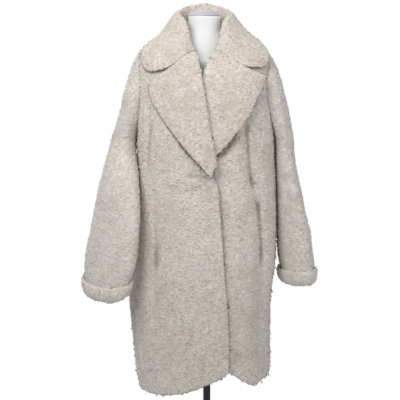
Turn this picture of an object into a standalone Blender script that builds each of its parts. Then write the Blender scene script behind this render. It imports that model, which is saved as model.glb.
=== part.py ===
"""A knee-length plush coat hanging on a limbless dress form, as closed solids.

Metres, Z up, the coat's front towards -Y. "Right" and "left" are the wearer's: right is -X.
The coat is one skin, body_point(turn, height), cut into panels along its seams. Plies that lie
on a panel are the skin's own points, moved out along its normal and then settled on the panel.
"""

import math

import bmesh
import bpy
import numpy as np
from mathutils import Matrix, Vector
from mathutils.bvhtree import BVHTree

# Driving sizes of the cloth
WALL = 0.009  # backing and pile together
SEAM_GAP = 0.0003  # between two pieces sewn edge to edge
PLY_GAP = 0.0012  # between a ply and the ply that lies on it
PLY = WALL + PLY_GAP
ROLL = 0.011  # how far a turned-back lapel bulges past the edge that it covers

# Heights of the coat, measured at its side
HEM = 0.400
HEM_FADE = 0.620
LAPELS_BEGIN = 0.955
UNDERARM = 1.090
SHOULDER_TIP = 1.340
NECKLINE = 1.383

# The form
FORM_X = 0.004
NECK_RADIUS = 0.0455
NECK_TOP = 1.4360
CAP_RISE = 0.016
TORSO_BOTTOM = 0.740
SEAT_GAP = 0.0004  # between the form's shoulders and the coat's inside
POLE_X = 0.0110
POLE_RADIUS = 0.0105
BASE_RADIUS = 0.170
BASE_HEIGHT = 0.014

# How finely the pieces are divided
SKIRT_ROWS = 10  # hem to the height where the lapels begin
CHEST_ROWS = 6  # from there to the underarm
BODY_ROWS = SKIRT_ROWS + CHEST_ROWS
ARM_ROWS = 12  # underarm to shoulder tip
SHOULDER_ROWS = 4  # shoulder tip to neckline
TURN_UP_ROWS = 5  # of the armhole's, from the underarm up
FRONT_COLUMNS = 15
BACK_COLUMNS = 22
SLEEVE_ROWS = 11  # cuff to underarm
SLEEVE_SIDES = 24
FORM_SIDES = 28


def table(columns, *rows):
    """A short table as a dictionary of its named columns."""
    names = columns.split()
    return {name: np.array([row[i] for row in rows], float) for i, name in enumerate(names)}


# Sections of the coat. side is the height at the side seam, and front_z and back_z are the
# heights of the same section at the middle of the front and back.
BODY = table(
    "side right_x left_x front_y front_z back_y back_z square",
    (0.400, 0.188, 0.193, 0.148, 0.400, 0.142, 0.400, 2.3),
    (0.560, 0.206, 0.193, 0.152, 0.560, 0.146, 0.560, 2.3),
    (0.660, 0.214, 0.198, 0.153, 0.660, 0.150, 0.660, 2.3),
    (0.760, 0.207, 0.209, 0.153, 0.760, 0.150, 0.760, 2.3),
    (0.860, 0.197, 0.210, 0.152, 0.860, 0.148, 0.860, 2.3),
    (0.960, 0.190, 0.206, 0.150, 0.960, 0.146, 0.960, 2.4),
    (1.030, 0.187, 0.203, 0.149, 1.030, 0.146, 1.030, 2.4),
    (1.090, 0.188, 0.202, 0.148, 1.090, 0.147, 1.090, 2.5),
    (1.150, 0.191, 0.200, 0.146, 1.147, 0.147, 1.150, 2.5),
    (1.210, 0.192, 0.196, 0.141, 1.200, 0.143, 1.210, 2.5),
    (1.270, 0.187, 0.190, 0.132, 1.250, 0.135, 1.268, 2.5),
    (1.315, 0.183, 0.185, 0.121, 1.283, 0.124, 1.312, 2.4),
    (1.340, 0.178, 0.180, 0.111, 1.303, 0.111, 1.338, 2.3),
    (1.362, 0.130, 0.133, 0.101, 1.320, 0.096, 1.362, 2.2),
    (1.383, 0.075, 0.078, 0.094, 1.334, 0.078, 1.388, 2.1),
)

# Where each lapel turns back, seen from the front: the outermost line of its soft roll, and the
# lapel's free edge beside it. The first row is at the gorge and the last where the front begins.
LAPEL_RIGHT = table(
    "roll_x roll_z edge_x edge_z",
    (-0.017, 1.342, -0.146, 1.261),
    (-0.014, 1.323, -0.153, 1.241),
    (-0.009, 1.302, -0.149, 1.218),
    (-0.003, 1.278, -0.136, 1.190),
    (0.000, 1.251, -0.117, 1.160),
    (0.008, 1.216, -0.095, 1.130),
    (0.013, 1.180, -0.072, 1.102),
    (0.017, 1.148, -0.052, 1.077),
    (0.024, 1.115, -0.033, 1.055),
    (0.029, 1.088, -0.015, 1.037),
    (0.035, 1.061, 0.000, 1.020),
    (0.039, 1.039, 0.013, 1.004),
    (0.042, 1.022, 0.025, 0.994),
)
LAPEL_LEFT = table(
    "roll_x roll_z edge_x edge_z",
    (0.027, 1.347, 0.174, 1.275),
    (0.018, 1.323, 0.172, 1.258),
    (0.008, 1.302, 0.166, 1.240),
    (-0.001, 1.280, 0.154, 1.218),
    (-0.010, 1.253, 0.142, 1.194),
    (-0.017, 1.226, 0.129, 1.168),
    (-0.023, 1.196, 0.114, 1.143),
    (-0.029, 1.166, 0.099, 1.124),
    (-0.033, 1.136, 0.081, 1.104),
    (-0.036, 1.107, 0.064, 1.083),
    (-0.037, 1.079, 0.043, 1.061),
    (-0.038, 1.043, 0.015, 1.036),
)
NOTCH_RIGHT = (-0.096, 1.292)
NOTCH_LEFT = (0.121, 1.294)
# The collar's edge from the notch to its corner, seen from the front
COLLAR_CORNER_RIGHT = ((-0.125, 1.285), (-0.147, 1.281), (-0.161, 1.288))
COLLAR_CORNER_LEFT = ((0.142, 1.2945), (0.164, 1.294), (0.181, 1.299))
# Shares of the way across a lapel, after the rows that wrap round the roll. The notch is at NOTCH_ROW.
FACE_SHARES = (0.09, 0.27, 0.45, 0.61, 0.75, 0.88, 1.0)
WRAP_ROWS = 3
# A lapel's wrap round the panel's edge: how far off the edge and out of the panel its points are
WRAP_FACE = ((0.0100, -0.0090), (0.0110, 0.0010), (0.0075, 0.0078))
WRAP_UNDER = ((0.0016, -0.0090), (0.0016, 0.0004), (0.0004, 0.0014))
NOTCH_ROW = WRAP_ROWS + 3

# The free edges of the fronts below the break of the lapels: x by height
FRONT_EDGE_RIGHT = table(
    "z x",
    (0.440, 0.0745),
    (0.574, 0.0728),
    (0.658, 0.0657),
    (0.852, 0.0544),
    (0.960, 0.0468),
    (1.000, 0.0435),
)
FRONT_EDGE_LEFT = table("z x", (0.440, -0.040), (0.980, -0.038))

# Hem heights: by the place across each front, and by the share of the way round the back
HEM_RIGHT = table(
    "x z",
    (-0.188, 0.396),
    (-0.172, 0.379),
    (-0.125, 0.375),
    (-0.060, 0.386),
    (-0.005, 0.403),
    (0.040, 0.423),
    (0.066, 0.432),
    (0.075, 0.441),
)
HEM_LEFT = table(
    "x z",
    (-0.045, 0.462),
    (0.040, 0.458),
    (0.076, 0.447),
    (0.098, 0.427),
    (0.125, 0.407),
    (0.150, 0.399),
    (0.172, 0.402),
    (0.193, 0.419),
)
HEM_BACK = table(
    "share z",
    (0.00, 0.419),
    (0.22, 0.414),
    (0.50, 0.412),
    (0.78, 0.399),
    (1.00, 0.396),
)

# Soft folds of the body. turn is degrees round from the left side seam (front is -90), lean is
# how far the fold has wandered at its upper end, and depth is out (+) or in (-).
FOLDS = table(
    "turn lean low high depth width",
    (-31.0, -27.0, 0.40, 1.20, -0.0110, 6.0),  # left front, below the lapel
    (-19.0, -6.0, 0.55, 0.93, 0.0040, 6.0),
    (-128.0, -3.0, 0.46, 1.16, -0.0085, 5.0),  # right front
    (-150.0, -3.0, 0.52, 1.06, -0.0060, 5.5),  # beside the sleeve
    (-158.0, 2.0, 0.40, 0.70, 0.0050, 7.0),
    (-93.0, 2.0, 0.40, 0.52, -0.0050, 5.0),
    (-62.0, 1.0, 0.40, 0.50, -0.0040, 5.0),
    (-22.0, 0.0, 0.40, 0.52, -0.0060, 5.0),
    (-118.0, 4.0, 0.40, 0.66, -0.0035, 8.0),
    (-6.0, -4.0, 0.44, 0.98, -0.0060, 7.0),  # left side
    (14.0, 3.0, 0.40, 0.86, 0.0060, 8.0),
    (34.0, 5.0, 0.40, 1.02, -0.0090, 7.0),  # back
    (58.0, 3.0, 0.40, 0.80, 0.0070, 9.0),
    (82.0, -2.0, 0.40, 0.94, -0.0080, 7.5),
    (104.0, -5.0, 0.40, 0.72, 0.0060, 8.0),
    (127.0, -4.0, 0.40, 1.04, -0.0095, 7.0),
    (149.0, -3.0, 0.46, 0.84, 0.0060, 8.0),
    (170.0, 3.0, 0.42, 1.00, -0.0060, 7.0),  # right side
)
# The hidden fastening draws the overlapping front in
PULL_X = 0.026
PULL_Z = 0.990
PULL_DEPTH = 0.007
PULL_WIDTH = 0.022

# Level sections of the sleeves below the underarm: out is the side away from the body, in the side
# beside it, skew how far the out side lies behind the in side, and drop how far the front sags.
SLEEVE_RIGHT = table(
    "z out_x in_x mid_y skew half_y drop",
    (0.677, 0.330, 0.213, -0.107, 0.034, 0.041, 0.022),
    (0.730, 0.339, 0.192, -0.108, 0.040, 0.042, 0.010),
    (0.770, 0.332, 0.181, -0.107, 0.044, 0.043, 0.003),
    (0.820, 0.323, 0.178, -0.104, 0.046, 0.045, 0.000),
    (0.870, 0.312, 0.174, -0.098, 0.045, 0.049, 0.000),
    (0.910, 0.304, 0.173, -0.090, 0.042, 0.054, 0.000),
    (0.950, 0.297, 0.175, -0.080, 0.036, 0.060, 0.000),
    (0.990, 0.286, 0.180, -0.064, 0.028, 0.067, 0.000),
    (1.030, 0.276, 0.187, -0.038, 0.016, 0.074, 0.000),
    (1.060, 0.268, 0.192, -0.014, 0.006, 0.078, 0.000),
    (1.090, 0.259, 0.190, 0.000, 0.000, 0.080, 0.000),
)
SLEEVE_LEFT = table(
    "z out_x in_x mid_y skew half_y drop",
    (0.692, 0.313, 0.229, -0.005, -0.018, 0.055, 0.006),
    (0.730, 0.318, 0.219, -0.004, -0.018, 0.058, 0.003),
    (0.770, 0.314, 0.213, -0.004, -0.018, 0.060, 0.001),
    (0.820, 0.306, 0.212, -0.005, -0.018, 0.063, 0.000),
    (0.870, 0.294, 0.211, -0.006, -0.016, 0.067, 0.000),
    (0.910, 0.285, 0.210, -0.008, -0.014, 0.071, 0.000),
    (0.950, 0.280, 0.209, -0.006, -0.012, 0.073, 0.000),
    (0.990, 0.268, 0.208, -0.004, -0.008, 0.073, 0.000),
    (1.030, 0.261, 0.206, -0.001, -0.004, 0.074, 0.000),
    (1.060, 0.259, 0.205, 0.001, 0.000, 0.077, 0.000),
    (1.090, 0.257, 0.203, 0.000, 0.000, 0.080, 0.000),
)
# The sleeve heads' outline seen from the front, from the underarm's height to the shoulder tip
HEAD_RIGHT = table(
    "z out_x",
    (1.090, 0.259),
    (1.129, 0.248),
    (1.180, 0.234),
    (1.230, 0.222),
    (1.263, 0.212),
    (1.294, 0.202),
    (1.325, 0.188),
    (1.340, 0.180),
)
HEAD_LEFT = table(
    "z out_x",
    (1.090, 0.257),
    (1.128, 0.251),
    (1.161, 0.244),
    (1.195, 0.238),
    (1.228, 0.228),
    (1.279, 0.215),
    (1.313, 0.199),
    (1.340, 0.182),
)
SLEEVE_SQUARE = 2.2
# Soft folds of the sleeves: angle is degrees round (0 away from the body, 90 at the front)
SLEEVE_FOLDS = table(
    "angle low high depth width",
    (70.0, 0.98, 1.24, -0.0050, 18.0),
    (112.0, 0.80, 0.99, -0.0040, 16.0),
    (35.0, 0.76, 0.95, 0.0035, 18.0),
    (205.0, 0.84, 1.02, -0.0045, 16.0),
    (255.0, 0.88, 1.12, 0.0040, 18.0),
    (300.0, 0.78, 1.00, -0.0050, 18.0),
    (330.0, 1.06, 1.26, -0.0045, 18.0),
)

# A cuff's cross-section round the sleeve's end: along is past the end, out is off its surface
CUFF_DEPTH = 0.036
CUFF_SECTION = table(
    "along out",
    (-0.0340, 0.0012),
    (-0.0325, 0.0085),
    (-0.0200, 0.0122),
    (-0.0020, 0.0120),
    (0.0095, 0.0050),
    (0.0105, -0.0050),
    (0.0010, -0.0090),
    (0.0010, 0.0012),
)

# The collar's visible face at places from the gorge (0) over the shoulder (0.5) to the nape (1):
# the crest of its roll, a point half way down its fall, and its edge. The corner's row comes
# from the gorge itself.
COLLAR_RIGHT = table(
    "place crest_x crest_y crest_z mid_x mid_y mid_z edge_x edge_y edge_z",
    (0.25, -0.044, -0.066, 1.418, -0.098, -0.062, 1.378, -0.166, -0.050, 1.318),
    (0.50, -0.066, -0.004, 1.446, -0.104, -0.006, 1.411, -0.138, 0.000, 1.368),
    (0.75, -0.046, 0.056, 1.463, -0.073, 0.088, 1.422, -0.100, 0.118, 1.358),
    (1.00, 0.000, 0.077, 1.474, 0.000, 0.108, 1.432, 0.000, 0.138, 1.350),
)
COLLAR_LEFT = table(
    "place crest_x crest_y crest_z mid_x mid_y mid_z edge_x edge_y edge_z",
    (0.25, 0.053, -0.062, 1.416, 0.108, -0.060, 1.376, 0.181, -0.052, 1.326),
    (0.50, 0.070, -0.004, 1.446, 0.113, -0.006, 1.407, 0.164, 0.000, 1.364),
    (0.75, 0.048, 0.056, 1.464, 0.079, 0.090, 1.420, 0.116, 0.116, 1.357),
    (1.00, 0.000, 0.077, 1.474, 0.000, 0.108, 1.432, 0.000, 0.138, 1.350),
)
# Where the collar's rows lie on the curve through stand (0), stand's middle (1), the crest's two
# sides (2, 3), fall's middle (4) and edge (5)
COLLAR_STEPS = (0.0, 1.0, 1.75, 2.5, 3.2, 3.65, 4.0, 4.35, 4.7, 5.0)
CREST_HALF = 0.008
COLLAR_HEART = 0.0012  # between the collar's rows on the hidden side of its roll
GORGE_STATIONS = 6  # over which the collar changes from its gorge to its full roll
FOOT_GAP = 0.0006  # between the neckline and the collar's foot

# Sections of the form's body below its shoulders
TORSO = table(
    "z half_x front_y back_y",
    (0.740, 0.146, 0.098, 0.100),
    (0.800, 0.152, 0.104, 0.108),
    (0.880, 0.150, 0.102, 0.110),
    (0.960, 0.134, 0.094, 0.098),
    (1.040, 0.118, 0.088, 0.086),
    (1.120, 0.130, 0.098, 0.090),
    (1.200, 0.144, 0.106, 0.096),
    (1.260, 0.148, 0.096, 0.094),
)


def ease(value, low, high):
    """0 below low, 1 above high, smooth between."""
    share = np.clip((np.asarray(value, float) - low) / (high - low), 0, 1)
    return share * share * (3 - 2 * share)


def curve(known, values, at):
    """A smooth curve through the known places, without overshoot (monotone cubic)."""
    known = np.asarray(known, float)
    values = np.asarray(values, float)
    at = np.clip(np.asarray(at, float), known[0], known[-1])
    step = np.diff(known)
    slope = np.diff(values) / step
    tangent = np.zeros(len(known))
    tangent[0], tangent[-1] = slope[0], slope[-1]
    for i in range(1, len(known) - 1):
        if slope[i - 1] * slope[i] > 0:
            before, after = step[i - 1], step[i]
            first, second = 2 * after + before, after + 2 * before
            tangent[i] = (first + second) / (first / slope[i - 1] + second / slope[i])
    k = np.clip(np.searchsorted(known, at, side="right") - 1, 0, len(step) - 1)
    s = (at - known[k]) / step[k]
    return (
        values[k] * (2 * s**3 - 3 * s**2 + 1)
        + tangent[k] * step[k] * (s**3 - 2 * s**2 + s)
        + values[k + 1] * (3 * s**2 - 2 * s**3)
        + tangent[k + 1] * step[k] * (s**3 - s**2)
    )


def unit(vectors):
    return vectors / np.maximum(np.linalg.norm(vectors, axis=-1, keepdims=True), 1e-12)


# ---------------------------------------------------------------- the coat's skin


def hem_x(turn):
    """The x of the lowest section at an angle round."""
    reach = np.where(np.cos(turn) < 0, BODY["right_x"][0], BODY["left_x"][0])
    return reach * np.sign(np.cos(turn)) * np.abs(np.cos(turn)) ** (2 / BODY["square"][0])


def hem_right(turn):
    return curve(HEM_RIGHT["x"], HEM_RIGHT["z"], hem_x(turn))


def hem_left(turn):
    return curve(HEM_LEFT["x"], HEM_LEFT["z"], hem_x(turn))


def hem_back(turn):
    return curve(HEM_BACK["share"], HEM_BACK["z"], turn / math.pi)


def fold_depth(turn, height):
    """How far the folds move the skin out at a place."""
    total = np.zeros(np.broadcast(turn, height).shape)
    for lean, low, high, depth, width, at in zip(
        FOLDS["lean"], FOLDS["low"], FOLDS["high"], FOLDS["depth"], FOLDS["width"], FOLDS["turn"]
    ):
        share = np.clip((height - low) / (high - low), 0, 1)
        off = np.degrees(turn) - at - lean * share
        off = (off + 180) % 360 - 180
        fade = 1 - ease(height, low + 0.45 * (high - low), high)
        start = 1.0 if low <= HEM else ease(height, low, low + 0.3 * (high - low))
        total = total + depth * np.exp(-((off / width) ** 2)) * fade * start
    return total


def bare_point(turn, height, hem):
    """The skin at an angle round the body and a side height."""
    row = {name: curve(BODY["side"], BODY[name], height) for name in BODY if name != "side"}
    c, s = np.cos(turn), np.sin(turn)
    power = 2 / row["square"]
    across = np.where(c < 0, row["right_x"], row["left_x"])
    deep = np.where(s < 0, row["front_y"], row["back_y"])
    x = across * np.sign(c) * np.abs(c) ** power
    y = deep * np.sign(s) * np.abs(s) ** power
    middle = np.where(s < 0, row["front_z"], row["back_z"])
    z = height + (middle - height) * s * s
    z = z + (hem(turn) - HEM) * (1 - ease(height, HEM, HEM_FADE))
    out = unit(np.stack([x / across**2, y / deep**2, np.zeros_like(x)], -1))
    return np.stack([x, y, z], -1) + out * fold_depth(turn, height)[..., None]


def body_point(turn, height, hem):
    """A point of the skin and the direction straight out of it."""
    turn, height = np.broadcast_arrays(np.asarray(turn, float), np.asarray(height, float))
    small_turn, small_rise = math.radians(0.6), 0.002
    around = bare_point(turn + small_turn, height, hem) - bare_point(turn - small_turn, height, hem)
    upper = np.minimum(height + small_rise, NECKLINE)
    lower = np.maximum(height - small_rise, HEM)
    rising = bare_point(turn, upper, hem) - bare_point(turn, lower, hem)
    return bare_point(turn, height, hem), unit(np.cross(around, rising))


def armhole_turn(height, front):
    """How far round from the side seam the armhole is cut, in radians."""
    share = np.clip((height - UNDERARM) / (SHOULDER_TIP - UNDERARM), 0, 1)
    widest = math.radians(26.0 if front else 35.0)
    return widest * np.sin(math.pi * share) ** 0.62


def body_heights():
    return np.concatenate(
        [
            np.linspace(HEM, LAPELS_BEGIN, SKIRT_ROWS + 1)[:-1],
            np.linspace(LAPELS_BEGIN, UNDERARM, CHEST_ROWS + 1)[:-1],
            UNDERARM + (SHOULDER_TIP - UNDERARM) * armhole_spacing()[:-1],
            np.linspace(SHOULDER_TIP, NECKLINE, SHOULDER_ROWS + 1),
        ]
    )


def armhole_spacing():
    """Rows of the armhole, closer at its ends, where it is round."""
    even = np.linspace(0, 1, ARM_ROWS + 1)
    return 0.5 * even + 0.5 * (1 - np.cos(math.pi * even)) / 2


def turn_of_x(x, height):
    """The angle round at which the front has that x."""
    across = np.where(
        x < 0,
        curve(BODY["side"], BODY["right_x"], height),
        curve(BODY["side"], BODY["left_x"], height),
    )
    share = np.clip(np.abs(x) / across, 0, 0.999) ** (curve(BODY["side"], BODY["square"], height) / 2)
    return -np.arccos(np.sign(x) * share)


def panel_edge_x(side, z):
    """The x of a front's free edge. Above the break it is set back under the lapel's roll."""
    lapel, below = (
        (LAPEL_RIGHT, FRONT_EDGE_RIGHT) if side < 0 else (LAPEL_LEFT, FRONT_EDGE_LEFT)
    )
    roll = curve(lapel["roll_z"][::-1], lapel["roll_x"][::-1], z)
    free = curve(below["z"], below["x"], z)
    break_z = lapel["roll_z"][-1]
    above = ease(z, break_z - 0.055, break_z - 0.022)
    return free * (1 - above) + (roll + side * ROLL) * above


def over_lift(x, z):
    """How far the right front is moved out by what it lies on: the left front and its lapel."""
    under_front = ease(x, -0.118, -0.062) * (1 - ease(z, 1.300, 1.350))
    under_lapel = ease(x, -0.118, -0.062) * ease(z, 0.950, 0.992) * (1 - ease(z, 1.300, 1.350))
    return PLY * (under_front + under_lapel)


def pull(x, z):
    """The dimple over the hidden fastening."""
    return PULL_DEPTH * np.exp(-((x - PULL_X) ** 2 + (z - PULL_Z) ** 2) / PULL_WIDTH**2)


def front_place(x, z, hem, lift):
    """The point of the front seen at x and z once it is moved out by lift, and its normal."""
    want = np.stack([x, z], -1)
    aim = want.copy()
    height = z.copy()
    for _ in range(30):
        turn = turn_of_x(aim[:, 0], height)
        point, normal = body_point(turn, height, hem)
        height = np.clip(height + 0.8 * (aim[:, 1] - point[:, 2]), HEM, NECKLINE)
        moved = point + normal * lift[:, None]
        aim = aim + 0.4 * (want - moved[:, [0, 2]])
    return moved, normal


# ---------------------------------------------------------------- meshes


def material(name, colour, roughness, metallic=0.0):
    made = bpy.data.materials.new(name)
    made.use_nodes = True
    shader = made.node_tree.nodes["Principled BSDF"]
    shader.inputs["Base Color"].default_value = (*colour, 1.0)
    shader.inputs["Roughness"].default_value = roughness
    shader.inputs["Metallic"].default_value = metallic
    return made


def add_object(name, vertices, faces, finish):
    mesh = bpy.data.meshes.new(name)
    mesh.from_pydata([tuple(v) for v in vertices], [], faces)
    work = bmesh.new()
    work.from_mesh(mesh)
    bmesh.ops.recalc_face_normals(work, faces=work.faces)
    work.to_mesh(mesh)
    work.free()
    mesh.shade_smooth()
    mesh.set_sharp_from_angle(angle=math.radians(50))
    mesh.materials.append(finish)
    made = bpy.data.objects.new(name, mesh)
    bpy.context.collection.objects.link(made)
    return made


RIM_ORDER = np.array([0.31, 0.17, 0.93])  # both sides of a seam split their rim the same way


def rim(faces, vertices, outer, inner):
    """Triangles between two lines of vertex numbers, split alike on both sides of a seam."""
    for a, b in zip(range(len(outer) - 1), range(1, len(outer))):
        first, second = vertices[outer[a]], vertices[outer[b]]
        if np.dot(first - second, RIM_ORDER) > 0:
            a, b = b, a
        faces.append((outer[a], outer[b], inner[b]))
        faces.append((outer[a], inner[b], inner[a]))


def shell(name, outer, inner, finish):
    """A closed wall between two grids of points."""
    rows, columns = outer.shape[:2]
    vertices = np.concatenate([outer.reshape(-1, 3), inner.reshape(-1, 3)])
    number = np.arange(rows * columns).reshape(rows, columns)
    under = number + rows * columns
    faces = []
    for i in range(rows - 1):
        for j in range(columns - 1):
            quad = (number[i, j], number[i, j + 1], number[i + 1, j + 1], number[i + 1, j])
            faces.append(quad)
            faces.append(tuple(n + rows * columns for n in reversed(quad)))
    rim(faces, vertices, number[0], under[0])
    rim(faces, vertices, number[-1], under[-1])
    rim(faces, vertices, number[:, 0], under[:, 0])
    rim(faces, vertices, number[:, -1], under[:, -1])
    faces = [tuple(int(n) for n in face) for face in faces]
    return add_object(name, vertices, faces, finish)


def seam_step(outer, inner, beside):
    """Half the gap of a seam, straight across it, towards the line beside it."""
    along = unit(np.gradient(outer, axis=0))
    across = unit(np.cross(along, inner - outer))
    side = np.sign(np.sum(across * (beside - outer), axis=1, keepdims=True))
    return across * side * SEAM_GAP / 2


EDGES = {
    "first column": ((slice(None), 0), (slice(None), 1)),
    "last column": ((slice(None), -1), (slice(None), -2)),
    "first row": ((0, slice(None)), (1, slice(None))),
    "last row": ((-1, slice(None)), (-2, slice(None))),
}


def armhole_step(outer, inner, edge):
    """The seam step down a body panel's side. At the underarm it is towards the panel's wall."""
    at, beside = EDGES[edge]
    step = seam_step(outer[at], inner[at], outer[beside])
    if np.dot(step[BODY_ROWS], step[BODY_ROWS + 1]) < 0:
        step[BODY_ROWS] *= -1
    return step


def part_edges(outer, inner, edges, body=False):
    """Draws the named edges of a grid back from their seams."""
    new_outer, new_inner = outer.copy(), inner.copy()
    for edge in edges:
        at, beside = EDGES[edge]
        if body and "column" in edge:
            step = armhole_step(outer, inner, edge)
            step[BODY_ROWS] += step[BODY_ROWS - 1]
        else:
            step = seam_step(outer[at], inner[at], outer[beside])
        new_outer[at] += step
        new_inner[at] += step
    return new_outer, new_inner


def grid_normals(points):
    """The direction out of a grid at each of its points."""
    around = np.gradient(points, axis=1)
    along = np.gradient(points, axis=0)
    return unit(np.cross(around, along))


# ---------------------------------------------------------------- fronts, back and sleeves


def column_shares(first, last, count):
    """Where a panel's columns stand, closer together where the folds are."""
    fine = np.linspace(0, 1, 400)
    turn = np.degrees(first + (last - first) * fine)
    crowd = np.full(len(fine), 1.0)
    for at, lean, width in zip(FOLDS["turn"], FOLDS["lean"], FOLDS["width"]):
        off = (turn - at - 0.4 * lean + 180) % 360 - 180
        crowd += 1.3 * np.exp(-((off / (1.6 * width)) ** 2))
    total = np.concatenate([[0], np.cumsum((crowd[1:] + crowd[:-1]) / 2)])
    return np.interp(np.linspace(0, 1, count + 1), total / total[-1], fine)


def turn_up(outer, inner, normal, column):
    """At the underarm the wall's edge is cut to face the sleeve, which hangs down beside it."""
    beside = 1 if column == 0 else -2
    line = outer[:, column]
    away = unit(np.cross(unit(np.gradient(line, axis=0)), normal[:, column]))
    away *= np.sign(np.sum(away * (line - outer[:, beside]), axis=1, keepdims=True))
    away[BODY_ROWS] = (0, 0, 1)
    rows = np.arange(BODY_ROWS, BODY_ROWS + TURN_UP_ROWS)
    for i, part in zip(rows, np.linspace(0.85, 0, TURN_UP_ROWS + 1)):
        heading = unit(away[i] * part - normal[i, column] * (1 - part))
        inner[i, column] = outer[i, column] + heading * WALL


def front(side):
    """A front's outer and inner points. Its columns run with the angle round the body."""
    heights = body_heights()
    hem = hem_right if side < 0 else hem_left
    cut = armhole_turn(heights, front=True)
    front_z = heights.copy()
    for _ in range(6):
        edge = turn_of_x(panel_edge_x(side, front_z), heights)
        front_z = body_point(edge, heights, hem)[0][:, 2]
    if side < 0:
        first, last = -math.pi + cut, edge
    else:
        first, last = edge, -cut
    share = column_shares(first[0], last[0], FRONT_COLUMNS)
    turn = first[:, None] + (last - first)[:, None] * share
    outer, normal = body_point(turn, heights[:, None], hem)
    x, z = outer[..., 0], outer[..., 2]
    lift = -pull(x, z)
    if side < 0:
        lift = lift + over_lift(x, z)
    outer = outer + normal * lift[..., None]
    inner = outer - normal * WALL
    turn_up(outer, inner, normal, -1 if side > 0 else 0)
    return outer, inner


def back():
    heights = body_heights()
    cut = armhole_turn(heights, front=False)
    share = column_shares(cut[0], math.pi - cut[0], BACK_COLUMNS)
    turn = cut[:, None] + (math.pi - 2 * cut)[:, None] * share
    outer, normal = body_point(turn, heights[:, None], hem_back)
    inner = outer - normal * WALL
    turn_up(outer, inner, normal, 0)
    turn_up(outer, inner, normal, -1)
    return outer, inner


def armhole_edges(side, front_grid, back_grid):
    """The armhole's front and back edges from the underarm up: outer, inner and the step of the
    sleeve's own edge off the seam."""
    arm = slice(BODY_ROWS, BODY_ROWS + ARM_ROWS + 1)
    found = []
    for (outer, inner), last in ((front_grid, side > 0), (back_grid, side < 0)):
        edge = "last column" if last else "first column"
        step = -armhole_step(outer, inner, edge)
        found.append(tuple(line[arm] for line in (outer[EDGES[edge][0]], inner[EDGES[edge][0]], step)))
    return found


def sleeve_fold_depth(angle, z):
    total = np.zeros(np.broadcast(angle, z).shape)
    for at, low, high, depth, width in zip(*(SLEEVE_FOLDS[n] for n in SLEEVE_FOLDS)):
        off = (np.degrees(angle) - at + 180) % 360 - 180
        rise = ease(z, low, 0.65 * low + 0.35 * high) * (1 - ease(z, 0.35 * low + 0.65 * high, high))
        total = total + depth * np.exp(-((off / width) ** 2)) * rise
    return total


def sleeve_grid(side, edges):
    """A sleeve's outer points. Columns run from the inner side over the front, the outer side and
    the back; rows run from the cuff to the shoulder tip, open at the armhole."""
    sizes = SLEEVE_RIGHT if side < 0 else SLEEVE_LEFT
    head = HEAD_RIGHT if side < 0 else HEAD_LEFT
    angle = math.pi - np.linspace(0, 2 * math.pi, SLEEVE_SIDES + 1)
    c, s = np.cos(angle), np.sin(angle)
    power = 2 / SLEEVE_SQUARE
    across = (np.sign(c) * np.abs(c) ** power)[:, None]
    ahead = (np.sign(s) * np.abs(s) ** power)[:, None]
    grid = []
    for z in np.linspace(sizes["z"][0], UNDERARM, SLEEVE_ROWS + 1):
        at = {name: float(curve(sizes["z"], sizes[name], z)) for name in sizes}
        out = np.array([side * at["out_x"], at["mid_y"] + at["skew"], z])
        inside = np.array([side * at["in_x"], at["mid_y"] - at["skew"], z])
        forward = np.array([0, -at["half_y"], -at["drop"]])
        grid.append((out + inside) / 2 + (out - inside) / 2 * across + forward * ahead)
    (front_edge, _, _), (back_edge, _, _) = edges
    half_y = sizes["half_y"][-1]
    share = np.linspace(0, 1, SLEEVE_SIDES + 1)
    for row in range(1, ARM_ROWS):
        # an oval that the armhole cuts open on the body's side, its front and back halves apart
        ends = (front_edge[row], back_edge[row])
        level = ends[0][2] * (1 - share) + ends[1][2] * share
        out_x = curve(head["z"], head["out_x"], level)
        points = np.stack([out_x, np.zeros_like(share), level], -1)
        for end, half in zip(ends, (share <= 0.5, share > 0.5)):
            deep = max(abs(end[1]), half_y)
            if row > ARM_ROWS // 2:
                deep = abs(end[1])
            start = math.pi - math.asin(min(1.0, abs(end[1]) / deep) ** (1 / power))
            at = start * np.abs(1 - 2 * share[half])
            reach = (out_x[half] - abs(end[0])) / (1 + abs(math.cos(start)) ** power)
            points[half, 0] = out_x[half] - reach * (1 - np.sign(np.cos(at)) * np.abs(np.cos(at)) ** power)
            points[half, 1] = math.copysign(deep, end[1]) * np.sin(at) ** power
        points[:, 0] *= side
        grid.append(points)
    tip = (front_edge[-1] + back_edge[-1]) / 2
    grid.append(np.repeat(tip[None], SLEEVE_SIDES + 1, axis=0))
    return np.array(grid), angle


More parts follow.
